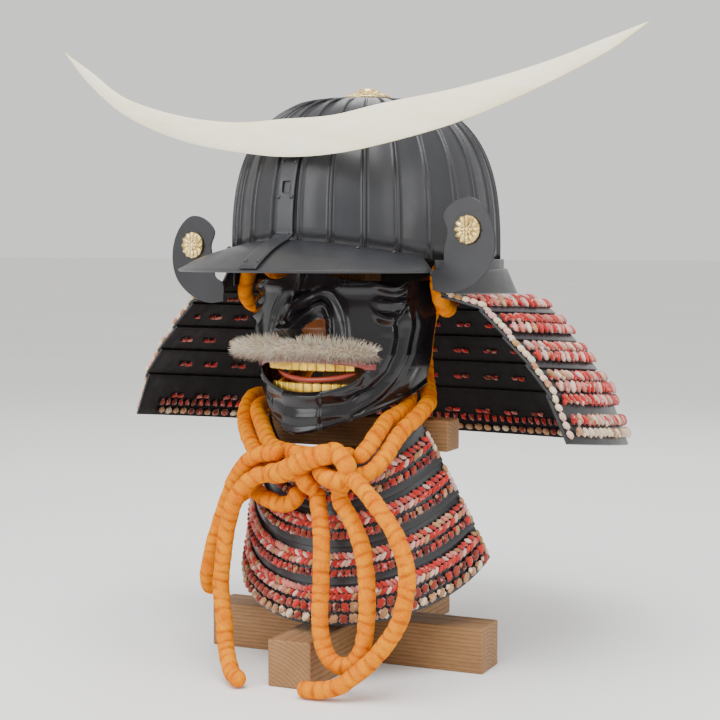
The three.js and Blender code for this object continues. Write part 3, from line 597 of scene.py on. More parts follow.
def visorPoint(u, v, up=0.0):
    angle = math.radians(u * visorShape["halfAngle"])
    root = bowlPoint(angle, 0, bowlShape["ridge"] + visorShape["gap"])
    side = math.sqrt(max(0, 1 - abs(u) ** 8))
    reach = 0.004 + (visorShape["reach"] - 0.004) * side
    bulge = visorShape["crown"] * math.sin(math.pi * v) * side
    z = mix(root.z + 0.002, min(visorShape["edgeZ"], root.z - 0.004), v) + bulge + up
    return Vector((root.x + reach * v * math.sin(angle), root.y - reach * v * math.cos(angle), z))


def makeVisor():
    bm = gridSheet(72, 14, lambda u, v: visorPoint(math.sin((2 * u - 1) * math.pi / 2), v))
    visor = addPiece(welded(bm, "curved_visor"), [ironLacquer, brownLacquer], "dark_lacquer", "visor")
    faceAlong(visor, Vector((0, 0, 1)))
    thicken(visor, visorShape["wall"], 0.0007, material_offset=1)


def strapLine():  # rises on the bowl, with the nail hole's edges among them, then the visor
    front = rimZ(0)
    low, high = [(z - front) / (bowlShape["crownZ"] - front) for z in strapShape["hole"][1:]]
    rises = [mix(strapShape["top"], high, i / 8) for i in range(8)] + [high, (low + high) / 2, low]
    rises += [mix(low, 0.05, i / 10) for i in range(1, 11)]
    flat = math.cos(math.radians(180 / bowlShape["plates"] - 1.1))
    line = [(bowlPoint(0, r).y * flat - 0.0003, bowlPoint(0, r).z) for r in rises]
    onVisor = [visorPoint(0, 0.08 + 0.9 * i / 12) for i in range(13)]
    return line + [(place.y, place.z + 0.0005) for place in onVisor]


def makeStrap():
    line = strapLine()
    half, (holeHalf, low, high) = strapShape["width"] / 2, strapShape["hole"]
    across = [-half, -0.006, -holeHalf, 0, holeHalf, 0.006, half]

    def place(u, v):
        y, z = line[round(v * (len(line) - 1))]
        return Vector((across[round(u * 6)], y, z))

    bm = gridSheet(6, len(line) - 1, place)
    middles = {face: face.calc_center_median() for face in bm.faces}
    inHole = [face for face, at in middles.items() if abs(at.x) < holeHalf and low < at.z < high]
    bmesh.ops.delete(bm, geom=inHole, context="FACES")
    strap = addPiece(welded(bm, "front_plate"), [ironLacquer], "dark_lacquer", "front_strap")
    faceAlong(strap, Vector((0, -1, 0)))
    thicken(strap, strapShape["wall"], 0.0005, offset=1)


def makeRivets():
    line, spots = strapLine(), []
    for share in strapShape["rivetRows"]:
        i = round(share * (len(line) - 1))
        y, z = line[i]
        ahead = Vector((0, *line[min(len(line) - 1, i + 1)])) - Vector((0, y, z))
        normal = Vector((0, ahead.z, -ahead.y)).normalized()
        for x in (-strapShape["rivetX"], strapShape["rivetX"]):
            spots.append((Vector((x, y, z)) + normal * 0.0021, normal))
    for u in visorShape["rivets"]:
        spots.append((visorPoint(u, 0.16) + Vector((0, 0, 0.0004)), Vector((0, -0.35, 1)).normalized()))
    bm = bmesh.new()
    for place, normal in spots:
        turn = normal.to_track_quat("Z", "Y").to_matrix().to_4x4()
        dome = Matrix.Translation(place) @ turn @ Matrix.Diagonal((1, 1, 0.55, 1))
        bmesh.ops.create_uvsphere(bm, u_segments=12, v_segments=8, radius=strapShape["rivet"], matrix=dome)
    addPiece(welded(bm, "rivets"), [ironLacquer], "dark_lacquer")


makeVisor()
makeStrap()
makeRivets()
print("visor and strap made")

# crest

crestShape = {
    "y": -0.125,
    "thickness": 0.003,
    "rows": [  # x, lower edge, upper edge
        (-0.231, 0.517, 0.517), (-0.205, 0.490, 0.501), (-0.170, 0.464, 0.478), (-0.130, 0.446, 0.464),
        (-0.090, 0.434, 0.455), (-0.045, 0.426, 0.450), (0, 0.421, 0.451), (0.045, 0.422, 0.452),
        (0.090, 0.428, 0.459), (0.160, 0.443, 0.468), (0.228, 0.466, 0.482), (0.280, 0.488, 0.497),
        (0.308, 0.505, 0.505),
    ],
    "bulge": 0.0006,
}


def curveAt(rows, key, column):  # a smooth curve through a table's column
    for i, (a, b) in enumerate(zip(rows, rows[1:])):
        if min(a[0], b[0]) <= key <= max(a[0], b[0]):
            before, after = rows[max(0, i - 1)], rows[min(len(rows) - 1, i + 2)]
            span = b[0] - a[0]
            slopeA = (b[column] - before[column]) / (b[0] - before[0]) * span
            slopeB = (after[column] - a[column]) / (after[0] - a[0]) * span
            t = (key - a[0]) / span
            first = (2 * t ** 3 - 3 * t ** 2 + 1) * a[column] + (t ** 3 - 2 * t ** 2 + t) * slopeA
            return first + (3 * t ** 2 - 2 * t ** 3) * b[column] + (t ** 3 - t ** 2) * slopeB
    return tableAt(rows, key, column)


def crestMaterial(name, pale, warm, rough):
    settings = {"Metallic": 0.12, "Coat Weight": 0.2, "Coat Roughness": 0.25}
    material, tree, shader = newMaterial(name, settings)
    vector = placed(tree, scale=(1, 1, 4))
    streaks, grain = noiseAt(tree, vector, 18, 5, 0.6, 0.6), noiseAt(tree, vector, 700, 3)
    colour = rampOf(tree, streaks, [(0.3, warm), (0.62, pale)])
    dress(tree, shader, colour, greyRamp(tree, streaks, rough, rough * 1.4))
    bumped(tree, shader, grain, 0.12, 0.0002)
    return material


def makeCrest():
    rows, y = crestShape["rows"], crestShape["y"] - crestShape["thickness"] / 2

    def place(u, v):
        x = mix(rows[0][0], rows[-1][0], 0.5 - 0.5 * math.cos(math.pi * u))
        low, high = curveAt(rows, x, 1), curveAt(rows, x, 2)
        full = min(1, abs(high - low) / 0.02)
        return Vector((x, y - crestShape["bulge"] * full * (4 * v * (1 - v) - 1), mix(low, high, v)))

    bm = gridSheet(128, 8, place)
    face = crestMaterial("paleGold", (0.93, 0.87, 0.68), (0.84, 0.75, 0.50), 0.34)
    edge = crestMaterial("goldEdge", (0.93, 0.78, 0.30), (0.80, 0.60, 0.16), 0.3)
    crest = addPiece(welded(bm, "crest_blade", 1e-6), [face, edge], "pale_gold", "crescent_crest")
    faceAlong(crest, Vector((0, -1, 0)))
    thicken(crest, crestShape["thickness"], 0.0005, material_offset_rim=1)


makeCrest()
print("crest made")

# turned-back wings, their rosettes and the crown's finial

wingShape = {
    "backY": -0.068,
    "thickness": 0.0025,
    "outline": [
        (0.104, 0.310), (0.120, 0.308), (0.141, 0.315), (0.156, 0.330), (0.160, 0.350), (0.154, 0.370),
        (0.140, 0.383), (0.124, 0.381), (0.113, 0.370), (0.117, 0.357), (0.114, 0.343), (0.113, 0.331),
        (0.104, 0.325),
    ],
    "lift": {"left": 0.005, "right": -0.007},
}
rosetteShape = {"x": 0.136, "z": 0.358, "radius": 0.0118, "petals": 12}
finialShape = {
    "radius": 0.0198,
    "petals": 14,
    "bottom": 0.4763,
    "profile": [  # share of the radius, height
        (0.6, 0), (1, 0), (1, 0.0012), (0.8, 0.0026), (0.62, 0.0046), (0.42, 0.0056), (0.36, 0.0062),
        (0.36, 0.0078), (0.28, 0.0084), (0.12, 0.0085),
    ],
}


def makeWing(name, side):
    outline = [Vector((side * x, 0, z + wingShape["lift"][name])) for x, z in wingShape["outline"]]
    edge = smoothRoute([*outline, outline[0]], 0.003)[:-1]
    bm = bmesh.new()
    ring = bmesh.ops.create_circle(bm, cap_ends=True, segments=len(edge), radius=1)["verts"]
    for vert, place in zip(ring, edge):
        vert.co = Vector((place.x, wingShape["backY"] - wingShape["thickness"], place.z))
    bmesh.ops.inset_region(bm, faces=bm.faces[:], thickness=0.0022, depth=0.0)
    inner = max(bm.faces, key=lambda f: f.calc_area())
    bmesh.ops.inset_region(bm, faces=[inner], thickness=0.0008, depth=0.0)
    inner = max(bm.faces, key=lambda f: f.calc_area())
    bmesh.ops.translate(bm, vec=(0, 0.0007, 0), verts=inner.verts)
    mesh = welded(bm, "wing_plate_" + name)
    wing = addPiece(mesh, [ironLacquer], "dark_lacquer", "wing_" + name, smooth=False)
    faceAlong(wing, Vector((0, -1, 0)))
    thicken(wing, wingShape["thickness"] - 0.0008, 0.0006)


def petalRing(bm, turn, radius, count, reach, long, wide, thick, lift, tilt=0.0):
    # reach, long and wide are shares of the radius
    petal = Matrix.Rotation(tilt, 4, "Y") @ Matrix.Diagonal((radius * long, radius * wide, thick, 1))
    for k in range(count):
        spin = Matrix.Rotation(2 * math.pi * k / count, 4, "Z")
        place = turn @ spin @ (Matrix.Translation((radius * reach, 0, lift)) @ petal)
        bmesh.ops.create_uvsphere(bm, u_segments=12, v_segments=8, radius=1, matrix=place)


def makeRosette(name, side):
    radius = rosetteShape["radius"]
    y = wingShape["backY"] - wingShape["thickness"] - 0.0003
    centre = Vector((side * rosetteShape["x"], y, rosetteShape["z"] + wingShape["lift"][name]))
    turn = Matrix.Translation(centre) @ Matrix.Rotation(math.pi / 2, 4, "X")
    bm = bmesh.new()
    disc = {"radius1": radius * 0.97, "radius2": radius * 0.9, "depth": 0.0012}
    seat = turn @ Matrix.Translation((0, 0, disc["depth"] / 2))
    bmesh.ops.create_cone(bm, cap_ends=True, segments=40, matrix=seat, **disc)
    petalRing(bm, turn, radius, rosetteShape["petals"], 0.66, 0.33, 0.175, 0.0011, 0.0015)
    petalRing(bm, turn, radius, 8, 0.3, 0.16, 0.11, 0.0007, 0.0019)
    button = Matrix.Translation((0, 0, 0.0017)) @ Matrix.Diagonal((radius * 0.2, radius * 0.2, 0.0011, 1))
    bmesh.ops.create_uvsphere(bm, u_segments=16, v_segments=10, radius=1, matrix=turn @ button)
    addPiece(welded(bm, "petal_rosette_" + name, 1e-7), [gilt], "gilt", "rosette_" + name)


def makeFinial():
    radius, turn = finialShape["radius"], Matrix.Translation((0, 0, finialShape["bottom"]))
    bm = bmesh.new()
    verts = [bm.verts.new((share * radius, 0, z)) for share, z in finialShape["profile"]]
    edges = [bm.edges.new(pair) for pair in zip(verts, verts[1:])]
    spun = {"cent": (0, 0, 0), "axis": (0, 0, 1), "angle": 2 * math.pi, "use_merge": True}
    bmesh.ops.spin(bm, geom=verts + edges, steps=48, **spun)
    bmesh.ops.holes_fill(bm, edges=[e for e in bm.edges if e.is_boundary])
    bmesh.ops.transform(bm, matrix=turn, verts=bm.verts)
    petalRing(bm, turn, radius, finialShape["petals"], 0.74, 0.25, 0.15, 0.0013, 0.0026, 0.22)
    petalRing(bm, turn, radius, 8, 0.42, 0.2, 0.14, 0.0011, 0.0056, 0.1)
    addPiece(welded(bm, "crown_flower", 1e-7), [gilt], "gilt", "top_finial")


for wingName, wingSide in (("left", 1), ("right", -1)):
    makeWing(wingName, wingSide)
    makeRosette(wingName, wingSide)
makeFinial()
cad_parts["crest_socket"].data.materials.clear()
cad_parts["crest_socket"].data.materials.append(ironLacquer)
print("wings, rosettes and finial made")

# laces: small puffed strokes laid in rows, each with its own tint

laceTints = {
    "red": (0.50, 0.022, 0.014),
    "rose": (0.58, 0.17, 0.13),
    "blush": (0.70, 0.43, 0.36),
    "tan": (0.44, 0.22, 0.095),
    "cream": (0.74, 0.58, 0.40),
    "wine": (0.13, 0.010, 0.009),
    "rust": (0.27, 0.035, 0.018),
}


def laceMaterial():
    settings = {"Roughness": 0.85, "Sheen Weight": 0.3, "Specular IOR Level": 0.2}
    material, tree, shader = newMaterial("silkLace", settings)
    vector = placed(tree)
    tint = tinted(tree)
    weave, patch = noiseAt(tree, vector, 1600, 2), noiseAt(tree, vector, 260, 3)
    rough = blended(tree, tint, greyRamp(tree, weave, 0.55, 1.25, 0.35, 0.65), 0.8, "MULTIPLY")
    # painted highlight: pale cream patches laid by noise stand for the sheen on the silk
    speck = blended(tree, rough, (0.90, 0.80, 0.72, 1), greyRamp(tree, patch, 0, 0.35, 0.58, 0.7))
    dress(tree, shader, speck)
    bumped(tree, shader, weave, 0.6, 0.0005)
    return material


silkLace = laceMaterial()


def strokeMesh(bm, name):  # a shape to be laid many times
    mesh = meshOf(bm, name)
    mesh.attributes.new("tint", "FLOAT_COLOR", "POINT")
    return mesh


def puffedStroke():  # a unit across
    bm = bmesh.new()
    bmesh.ops.create_uvsphere(bm, u_segments=6, v_segments=4, radius=1)
    return strokeMesh(bm, "stroke")


def addStroke(bm, stroke, matrix, tint):
    stroke.transform(matrix)
    stroke.attributes["tint"].data.foreach_set("color", [*tint, 1] * len(stroke.vertices))
    bm.from_mesh(stroke)
    stroke.transform(matrix.inverted())


def surfaceFrame(surface, u, down, out, away=1):  # place, and axes along the row, down the lame and out
    place = surface(u, down, out)
    along = (surface(min(1, u + 0.004), down, out) - surface(max(-1, u - 0.004), down, out)).normalized()
    below = (surface(u, down + 0.001, out) - surface(u, down - 0.001, out)).normalized()
    outward = (surface(u, down, out + 0.002) - place).normalized() * away
    below = (below - outward * below.dot(outward)).normalized()
    along = below.cross(outward)
    return place, along, below, outward


def strokeMatrix(place, along, below, outward, slant, long, wide, thick):
    axis = along * math.cos(slant) + below * math.sin(slant)
    side = outward.cross(axis)
    turn = Matrix((axis, side, outward)).transposed().to_4x4()
    return Matrix.Translation(place) @ turn @ Matrix.Diagonal((long, wide, thick, 1))


def rowPlaces(surface, down, out, pitch, reach=0.97):
    samples = [surface(-reach + 2 * reach * i / 60, down, out) for i in range(61)]
    count = max(3, round(routeLength(samples) / pitch))
    return [-reach + 2 * reach * (i + 0.5) / count for i in range(count)]


def laceRow(bm, stroke, surface, row, rng, away=1):
    down, out = row["down"], row["out"]
    every, shown = row.get("gaps", (1, 1))
    for i, u in enumerate(rowPlaces(surface, down, out, row["pitch"], row.get("reach", 0.97))):
        if i % every >= shown:
            continue
        middle, *axes = surfaceFrame(surface, u, down, out, away)
        tint = laceTints[rng.choices(row["tints"], row["shares"])[0]]
        for k, slant in enumerate(row["slants"]):
            size = rng.uniform(0.88, 1.12)
            place = middle + axes[2] * (0.0010 * k) + axes[1] * rng.uniform(-0.0004, 0.0004)
            shade = rng.uniform(0.75, 1.12)
            other = laceTints[rng.choices(row["tints"], row["shares"])[0]] if k else tint
            turned = slant + rng.uniform(-0.12, 0.12)
            matrix = strokeMatrix(place, *axes, turned, *(value * size for value in row["stroke"]))
            addStroke(bm, stroke, matrix, [c * shade for c in other])


def boundEdge(bm, stroke, surface, edge, places, rng):  # pale lacing bound over both ends of a row
    for side in (-1, 1):
        for down, out in places:
            base = surfaceFrame(surface, side * edge["reach"], down, out)
            tint = [c * rng.uniform(0.8, 1.05) for c in laceTints[rng.choice(edge["tints"])]]
            slant = edge["slant"] * side + rng.uniform(-0.2, 0.2)
            addStroke(bm, stroke, strokeMatrix(*base, slant, *edge["stroke"]), tint)


# waist band and neck guard

neckShape = {
    "sections": [  # out from the bowl's outline, height
        (0.008, 0.331), (0.016, 0.306), (0.046, 0.290), (0.064, 0.264), (0.082, 0.238), (0.098, 0.210),
        (0.110, 0.169),
    ],
    "frontLift": 0.052,
    "topEndY": -0.068,
    "hemEndY": -0.054,
    "band": {"out": 0.0054, "top": 0.339, "bottom": 0.316, "endAngle": 63},
    "wall": 0.002,
    "overlap": 0.005,
}
warm = {"tints": ["red", "rose", "blush", "tan", "cream"], "shares": [6, 3, 2, 0.6, 0.5]}
neckRow = {**warm, "pitch": 0.0082, "slants": (0.95, -0.95), "stroke": (0.0058, 0.0024, 0.0021)}
paleRow = {
    "tints": ["cream", "tan", "blush"],
    "shares": [4, 2, 1],
    "pitch": 0.0086,
    "slants": (0.8, -0.8),
    "stroke": (0.005, 0.0025, 0.0021),
}
insideRow = {  # sparse loops that show on the inside
    "out": -0.0015,
    "pitch": 0.0085,
    "reach": 0.93,
    "tints": ["red", "rust", "rose"],
    "shares": [5, 3, 1],
    "slants": (0.3, -0.3),
    "stroke": (0.0042, 0.0019, 0.0012),
}
denseRow = {**insideRow, "tints": ["red", "rust", "wine"], "pitch": 0.009, "slants": (1.1, -1.1)}
insideHem = {
    **insideRow,
    "tints": ["tan", "cream", "rust"],
    "shares": [5, 1, 3],
    "pitch": 0.0105,
    "stroke": (0.0042, 0.0032, 0.0016),
}
neckEdge = {
    "reach": 0.988,
    "tints": ["cream", "cream", "tan", "blush"],
    "slant": 1.2,
    "stroke": (0.0044, 0.0027, 0.0025),
}


def neckTableRows():
    sections, down, made = neckShape["sections"], 0.0, []
    for i, (out, z) in enumerate(sections):
        above, below = sections[max(0, i - 1)], sections[min(len(sections) - 1, i + 1)]
        span = math.hypot(below[0] - above[0], below[1] - above[1])
        if i:
            down += math.hypot(out - sections[i - 1][0], z - sections[i - 1][1])
        made.append((down, out, z, (above[1] - below[1]) / span, (below[0] - above[0]) / span))
    return made


neckRows = neckTableRows()


def neckPoint(u, down, out):
    last = neckRows[-1]
    past = max(0, down - last[0])
    at = [tableAt(neckRows, min(down, last[0]), column) for column in range(5)]
    sideways = at[1] + past * last[4] + out * at[3]
    share = down / last[0]
    endY = mix(neckShape["topEndY"], neckShape["hemEndY"], share)
    endAngle = math.acos(-endY / (bowlShape["halfLength"] + at[1]))
    angle = math.pi + u * (math.pi - endAngle)
    lift = neckShape["frontLift"] * share * (1 + math.cos(angle)) / 2
    x = (bowlShape["halfWidth"] + sideways) * math.sin(angle)
    y = -(bowlShape["halfLength"] + sideways) * math.cos(angle)
    return Vector((x, y, at[2] - past * last[3] + lift + out * at[4]))


def plateBetween(name, replaced, surface, start, end, columns=120, outer=plateLacquer, shingle=0.0025):
    def place(u, v):
        down = mix(start, end, v)
        return surface(2 * u - 1, down, shingle * (down - start) / (end - start))

    bm = gridSheet(columns, 6, place)
    plate = addPiece(welded(bm, name), [outer, innerLacquer], "dark_lacquer", replaced)
    middle = surface(0, (start + end) / 2, 0)
    outward = surface(0, (start + end) / 2, 0.01) - middle
    nearest = min(plate.data.polygons, key=lambda f: (f.center - middle).length)
    if nearest.normal.dot(outward) < 0:
        plate.data.flip_normals()
    thicken(plate, neckShape["wall"], 0.0006, material_offset=1)


def bandPoint(u, down, out):
    band = neckShape["band"]
    angle = math.pi + u * (math.pi - math.radians(band["endAngle"]))
    x = (bowlShape["halfWidth"] + band["out"] + out) * math.sin(angle)
    y = -(bowlShape["halfLength"] + band["out"] + out) * math.cos(angle)
    return Vector((x, y, band["top"] - down))


def makeNeckGuard():
    band, overlap = neckShape["band"], neckShape["overlap"]
    tall = band["top"] - band["bottom"]
    plateBetween("waist_ring", "waist_band", bandPoint, 0, tall, outer=ironLacquer, shingle=0)
    plateBetween("neck_cover", "neck_top_plate", neckPoint, 0, neckRows[1][0] + overlap, outer=ironLacquer)
    stroke, rng = puffedStroke(), random.Random(11)
    for i in range(1, 6):
        start, end = neckRows[i][0], neckRows[i + 1][0]
        plateBetween(f"neck_plate_{i}", f"neck_lame_{i}", neckPoint, start, end + overlap)
        pitch = end - start
        rows = [
            {**neckRow, "down": start + 0.42 * pitch, "out": 0.0036},
            {**neckRow, "down": start + 0.80 * pitch, "out": 0.0046, "slants": (-0.95, 0.95)},
        ]
        inside = [{**insideRow, "down": start + 0.55 * pitch, "gaps": (4, 2)}]
        if i == 5:
            rows = [
                {**neckRow, "down": start + 0.12 * pitch, "out": 0.0032},
                {**neckRow, "down": start + 0.58 * pitch, "out": 0.0042, "pitch": 0.0078},
                {**paleRow, "down": start + 0.86 * pitch, "out": 0.0047},
            ]
            inside.append({**denseRow, "down": start + 0.72 * pitch})
            inside.append({**insideHem, "down": start + 0.96 * pitch})
        bm = bmesh.new()
        for row in rows:
            laceRow(bm, stroke, neckPoint, row, rng)
        for row in inside:
            laceRow(bm, stroke, neckPoint, row, rng, -1)
        places = [(start + (0.1 + 0.2 * k) * pitch + 0.001, 0.0022 + 0.0004 * k) for k in range(5)]
        boundEdge(bm, stroke, neckPoint, neckEdge, places, rng)
        addPiece(meshOf(bm, f"neck_knots_{i}"), [silkLace], "lacing", f"neck_lacing_{i}")
    bpy.data.meshes.remove(stroke)


makeNeckGuard()
print("neck guard made")

# mask: glossy black face with brow, nose, folds, lips and chin

maskShape = {
    "sections": [  # height, half width, front, nose, half width of the nose
        (0.334, 0.080, 0.092, 0.004, 0.008), (0.314, 0.082, 0.094, 0.012, 0.008),
        (0.300, 0.084, 0.097, 0.021, 0.009), (0.290, 0.084, 0.099, 0.031, 0.011),
        (0.284, 0.083, 0.100, 0.034, 0.014), (0.278, 0.082, 0.101, 0.024, 0.015),
        (0.271, 0.081, 0.102, 0.004, 0.016), (0.262, 0.080, 0.103, 0.000, 0.016),
        (0.252, 0.078, 0.103, 0.000, 0.016), (0.230, 0.072, 0.103, 0.000, 0.016),
        (0.212, 0.062, 0.106, 0.000, 0.016), (0.197, 0.048, 0.105, 0.000, 0.016),
    ],
    "back": 0.028,
    "wall": 0.002,
    "brow": {"z": 0.322, "bridge": 0.010, "width": 0.18},
    "mouth": {"half": 0.44, "z": 0.250, "up": 0.0055, "down": 0.0185},
    "chin": {"z": 0.197, "rise": 0.038, "half": 0.016, "swell": 0.0032},
    "lip": {"above": 0.25, "rim": 0.0045, "half": 0.52},
    "nostril": {"low": 0.272, "high": 0.296, "arch": 0.62},
}
faceFolds = [  # each fold is a line of heights and shares of the half turn, with its height and width
    {"line": [(0.290, 0.58), (0.276, 0.61), (0.262, 0.60), (0.248, 0.56), (0.236, 0.47), (0.229, 0.34)],
     "lift": 0.0030, "width": 0.034},
    {"line": [(0.296, 0.72), (0.284, 0.745), (0.262, 0.73), (0.240, 0.66), (0.225, 0.56), (0.214, 0.42)],
     "lift": 0.0022, "width": 0.028},
    {"line": [(0.290, 0.86), (0.270, 0.86), (0.250, 0.83), (0.236, 0.78)], "lift": 0.0013, "width": 0.030},
]
cheekRidges = [  # height at the middle, share across, half length, rise to the outside, lift
    (0.3155, 0.60, 0.13, 0.010, 0.0024), (0.3035, 0.60, 0.12, 0.003, 0.0026),
    (0.2915, 0.57, 0.11, 0.012, 0.0028),
]
noseArches = [  # centre across, foot, half width, height, lift, width of the roll
    (0.0155, 0.2740, 0.0105, 0.029, 0.0042, 0.16), (0.0155, 0.2740, 0.0225, 0.040, 0.0020, 0.11),
]


def maskSheet(u, z, out):
    half, front, nose, noseHalf = (tableAt(maskShape["sections"], z, column) for column in range(1, 5))
    angle = u * math.pi / 2
    x = (half + out) * math.sin(angle)
    depth = front + out - maskShape["back"]
    ridge = nose * math.exp(-((x / noseHalf) ** 2))
    return Vector((x, -(maskShape["back"] + depth * math.cos(angle)) - ridge, z))


def step(x, low, high):
    t = clamp((x - low) / (high - low))
    return t * t * (3 - 2 * t)


def mouthShare(u):
    return max(0.0, 1 - (u / maskShape["mouth"]["half"]) ** 2)


def upperLip(u):
    return maskShape["mouth"]["z"] + maskShape["mouth"]["up"] * math.sqrt(mouthShare(u))


def lowerLip(u):
    return maskShape["mouth"]["z"] - maskShape["mouth"]["down"] * math.sqrt(mouthShare(u))


def faceRelief(u, z):
    side, x = abs(u), abs(maskSheet(u, z, 0).x)
    out = 0.0
    for fold in faceFolds:
        line = fold["line"]
        if line[-1][0] - 0.012 < z < line[0][0] + 0.012:
            centre = tableAt(line, z, 1)
            ends = step(z, line[-1][0] - 0.012, line[-1][0] + 0.004)
            ends *= 1 - step(z, line[0][0] - 0.004, line[0][0] + 0.012)
            away = (side - centre) / fold["width"]
            sharp = math.exp(-(away ** 2)) if away > 0 else math.exp(-((away / 1.9) ** 2))
            out += ends * fold["lift"] * (sharp - 0.45 * hump(away, 1.5, 0.7))
    for middle, across, reach, rise, lift in cheekRidges:
        along = (side - across) / reach
        line = middle + rise * along * along * (1 if along > 0 else 0.4)
        ridge = hump(z, line, 0.0034) - 0.4 * hump(z, line - 0.0062, 0.0028)
        out += lift * math.exp(-(along ** 4)) * ridge
    for centre, foot, reach, height, lift, roll in noseArches:
        if z > foot - 0.004:
            radius = math.hypot((x - centre) / reach, (z - foot) / height)
            out += lift * math.exp(-(((radius - 1) / roll) ** 2))
            if roll > 0.12:
                out -= 0.0042 * (1 - step(radius, 0.55, 0.86))
    brow = hump(z, 0.317, 0.005) * (1 - step(side, 0.5, 0.8)) * step(side, 0.12, 0.25)
    out += 0.0025 * brow
    out -= 0.0030 * hump(x, 0.0, 0.0022) * hump(z, 0.2875, 0.0022)
    mouth, chin = maskShape["mouth"], maskShape["chin"]
    if z >= mouth["z"]:
        toLip = (z - upperLip(u)) / 0.0036
    else:
        toLip = (lowerLip(u) - z) / 0.0046
    past = max(0.0, side - mouth["half"]) / 0.05
    out += (0.0026 if z < mouth["z"] else 0.0018) * math.exp(-((toLip - 0.6) ** 2) - past ** 2)
    out -= 0.0016 * math.exp(-((toLip - 3.0) ** 2) - (past * 0.8) ** 2) * (z < mouth["z"])
    flat = (1 - step(x, chin["half"], chin["half"] + 0.0035)) * step(0.2335 - z, 0, 0.006)
    out += chin["swell"] * flat
    out += 0.0016 * hump(z, chin["z"] + chin["rise"] * side ** 1.5 + 0.002, 0.0026)
    return out


def facePoint(u, z, lift=0.0):
    return maskSheet(u, z, faceRelief(u, z) + lift)


def lacquerGloss(name, base, rough, coat=1.0):
    settings = {"Coat Weight": coat, "Coat Roughness": 0.12, "Specular IOR Level": 0.34}
    material, tree, shader = newMaterial(name, settings)
    vector = placed(tree)
    wavy, fine = noiseAt(tree, vector, 18), noiseAt(tree, vector, 700, 3)
    dust = noiseAt(tree, vector, 75, 5, 0.7)
    lighter = tuple(c * 1.8 + 0.004 for c in base)
    colour = rampOf(tree, wavy, [(0.35, base), (0.75, lighter)])
    dusty = blended(tree, colour, (0.10, 0.085, 0.08, 1), greyRamp(tree, dust, 0, 0.10, 0.60, 0.78))
    dress(tree, shader, dusty, greyRamp(tree, dust, rough * 0.8, rough * 1.5))
    under = bumped(tree, shader, wavy, 0.22, 0.0025)
    bumped(tree, shader, fine, 0.05, 0.0001, under)
    return material


maskLacquer = lacquerGloss("maskLacquer", (0.0040, 0.0034, 0.0045), 0.2, 0.22)
maskInner = lacquerGloss("maskInner", (0.030, 0.006, 0.004), 0.45, 0.1)
lipLacquer = lacquerGloss("lipLacquer", (0.15, 0.018, 0.013), 0.3, 0.5)
toothGilt = giltMaterial("toothGilt", (0.86, 0.56, 0.08), (0.46, 0.26, 0.03))
gumLacquer = lacquerGloss("gumLacquer", (0.34, 0.045, 0.022), 0.3, 0.5)
# painted light: the orange-brown in the nostril recess stands for the lit wooden post seen through the
# nostril
nostrilPaintedLight = lacquerGloss("nostrilPaintedLight", (0.14, 0.040, 0.010), 0.35, 0.3)


def makeMask():
    brow, chin = maskShape["brow"], maskShape["chin"]

    def browEdge(u):
        return brow["z"] + brow["bridge"] * math.exp(-((u / brow["width"]) ** 2))

    def chinEdge(u):
        return chin["z"] + chin["rise"] * abs(u) ** 1.5

    def halfMask(rows, low, high):
        def place(u, v):
            t = 2 * u - 1
            share = math.copysign(abs(t) ** 1.25, t)  # columns drawn together towards the nose
            return facePoint(share, mix(low(share), high(share), v))

        return gridSheet(260, rows, place)

    upper = halfMask(92, upperLip, browEdge)
    lower = meshOf(halfMask(72, chinEdge, lowerLip), "lower")
    upper.from_mesh(lower)
    bpy.data.meshes.remove(lower)
    bmesh.ops.remove_doubles(upper, verts=upper.verts, dist=2e-5)
    lip, nostril = maskShape["lip"], maskShape["nostril"]
    centre, foot, reach, height = noseArches[0][:4]
    for face in upper.faces:
        middle = face.calc_center_median()
        share = math.asin(clamp(middle.x / 0.080, -1, 1)) / (math.pi / 2)
        arch = math.hypot((abs(middle.x) - centre) / reach, (middle.z - foot) / height)
        if lip["above"] < middle.z < upperLip(share) + lip["rim"] and abs(share) < lip["half"]:
            face.material_index = 1
        # painted light: the nostril recess takes the orange-brown of the lit wood seen through it
        if nostril["low"] < middle.z < nostril["high"] and arch < nostril["arch"]:
            face.material_index = 2
    finishes = [maskLacquer, lipLacquer, nostrilPaintedLight, maskInner]
    mask = addPiece(welded(upper, "lacquered_mask"), finishes, "black_lacquer", "mask_shell")
    cheekFace = max(mask.data.polygons, key=lambda face: face.center.x)
    if cheekFace.normal.x < 0:
        mask.data.flip_normals()
    thicken(mask, maskShape["wall"], 0.0005, material_offset=3, material_offset_rim=0)
    mask.modifiers[-1].angle_limit = math.radians(50)


toothShape = {
    "rows": {  # heights of the tips and of the roots
        "upper_teeth": {"tip": 0.2485, "root": 0.2610, "count": 11},
        "lower_teeth": {"tip": 0.2385, "root": 0.2240, "count": 10},
    },
    "seat": 0.0036,
    "thick": 0.0011,
    "reach": 0.86,  # share of the mouth's half width
    "fill": 1.94,
    "easing": 0.0013,
}
gumShape = {"z": 0.2405, "in": 0.0105, "reach": 0.40, "thick": 0.0016, "rise": 0.006}


def gumPoint(u, v):
    share, angle = gumShape["reach"] * (2 * u - 1), 2 * math.pi * v
    thick = gumShape["thick"] * math.sqrt(max(0.02, 1 - (2 * u - 1) ** 6))
    z = gumShape["z"] + gumShape["rise"] * (share / gumShape["reach"]) ** 2
    return maskSheet(share, z + 1.5 * thick * math.sin(angle), -gumShape["in"] + thick * math.cos(angle))


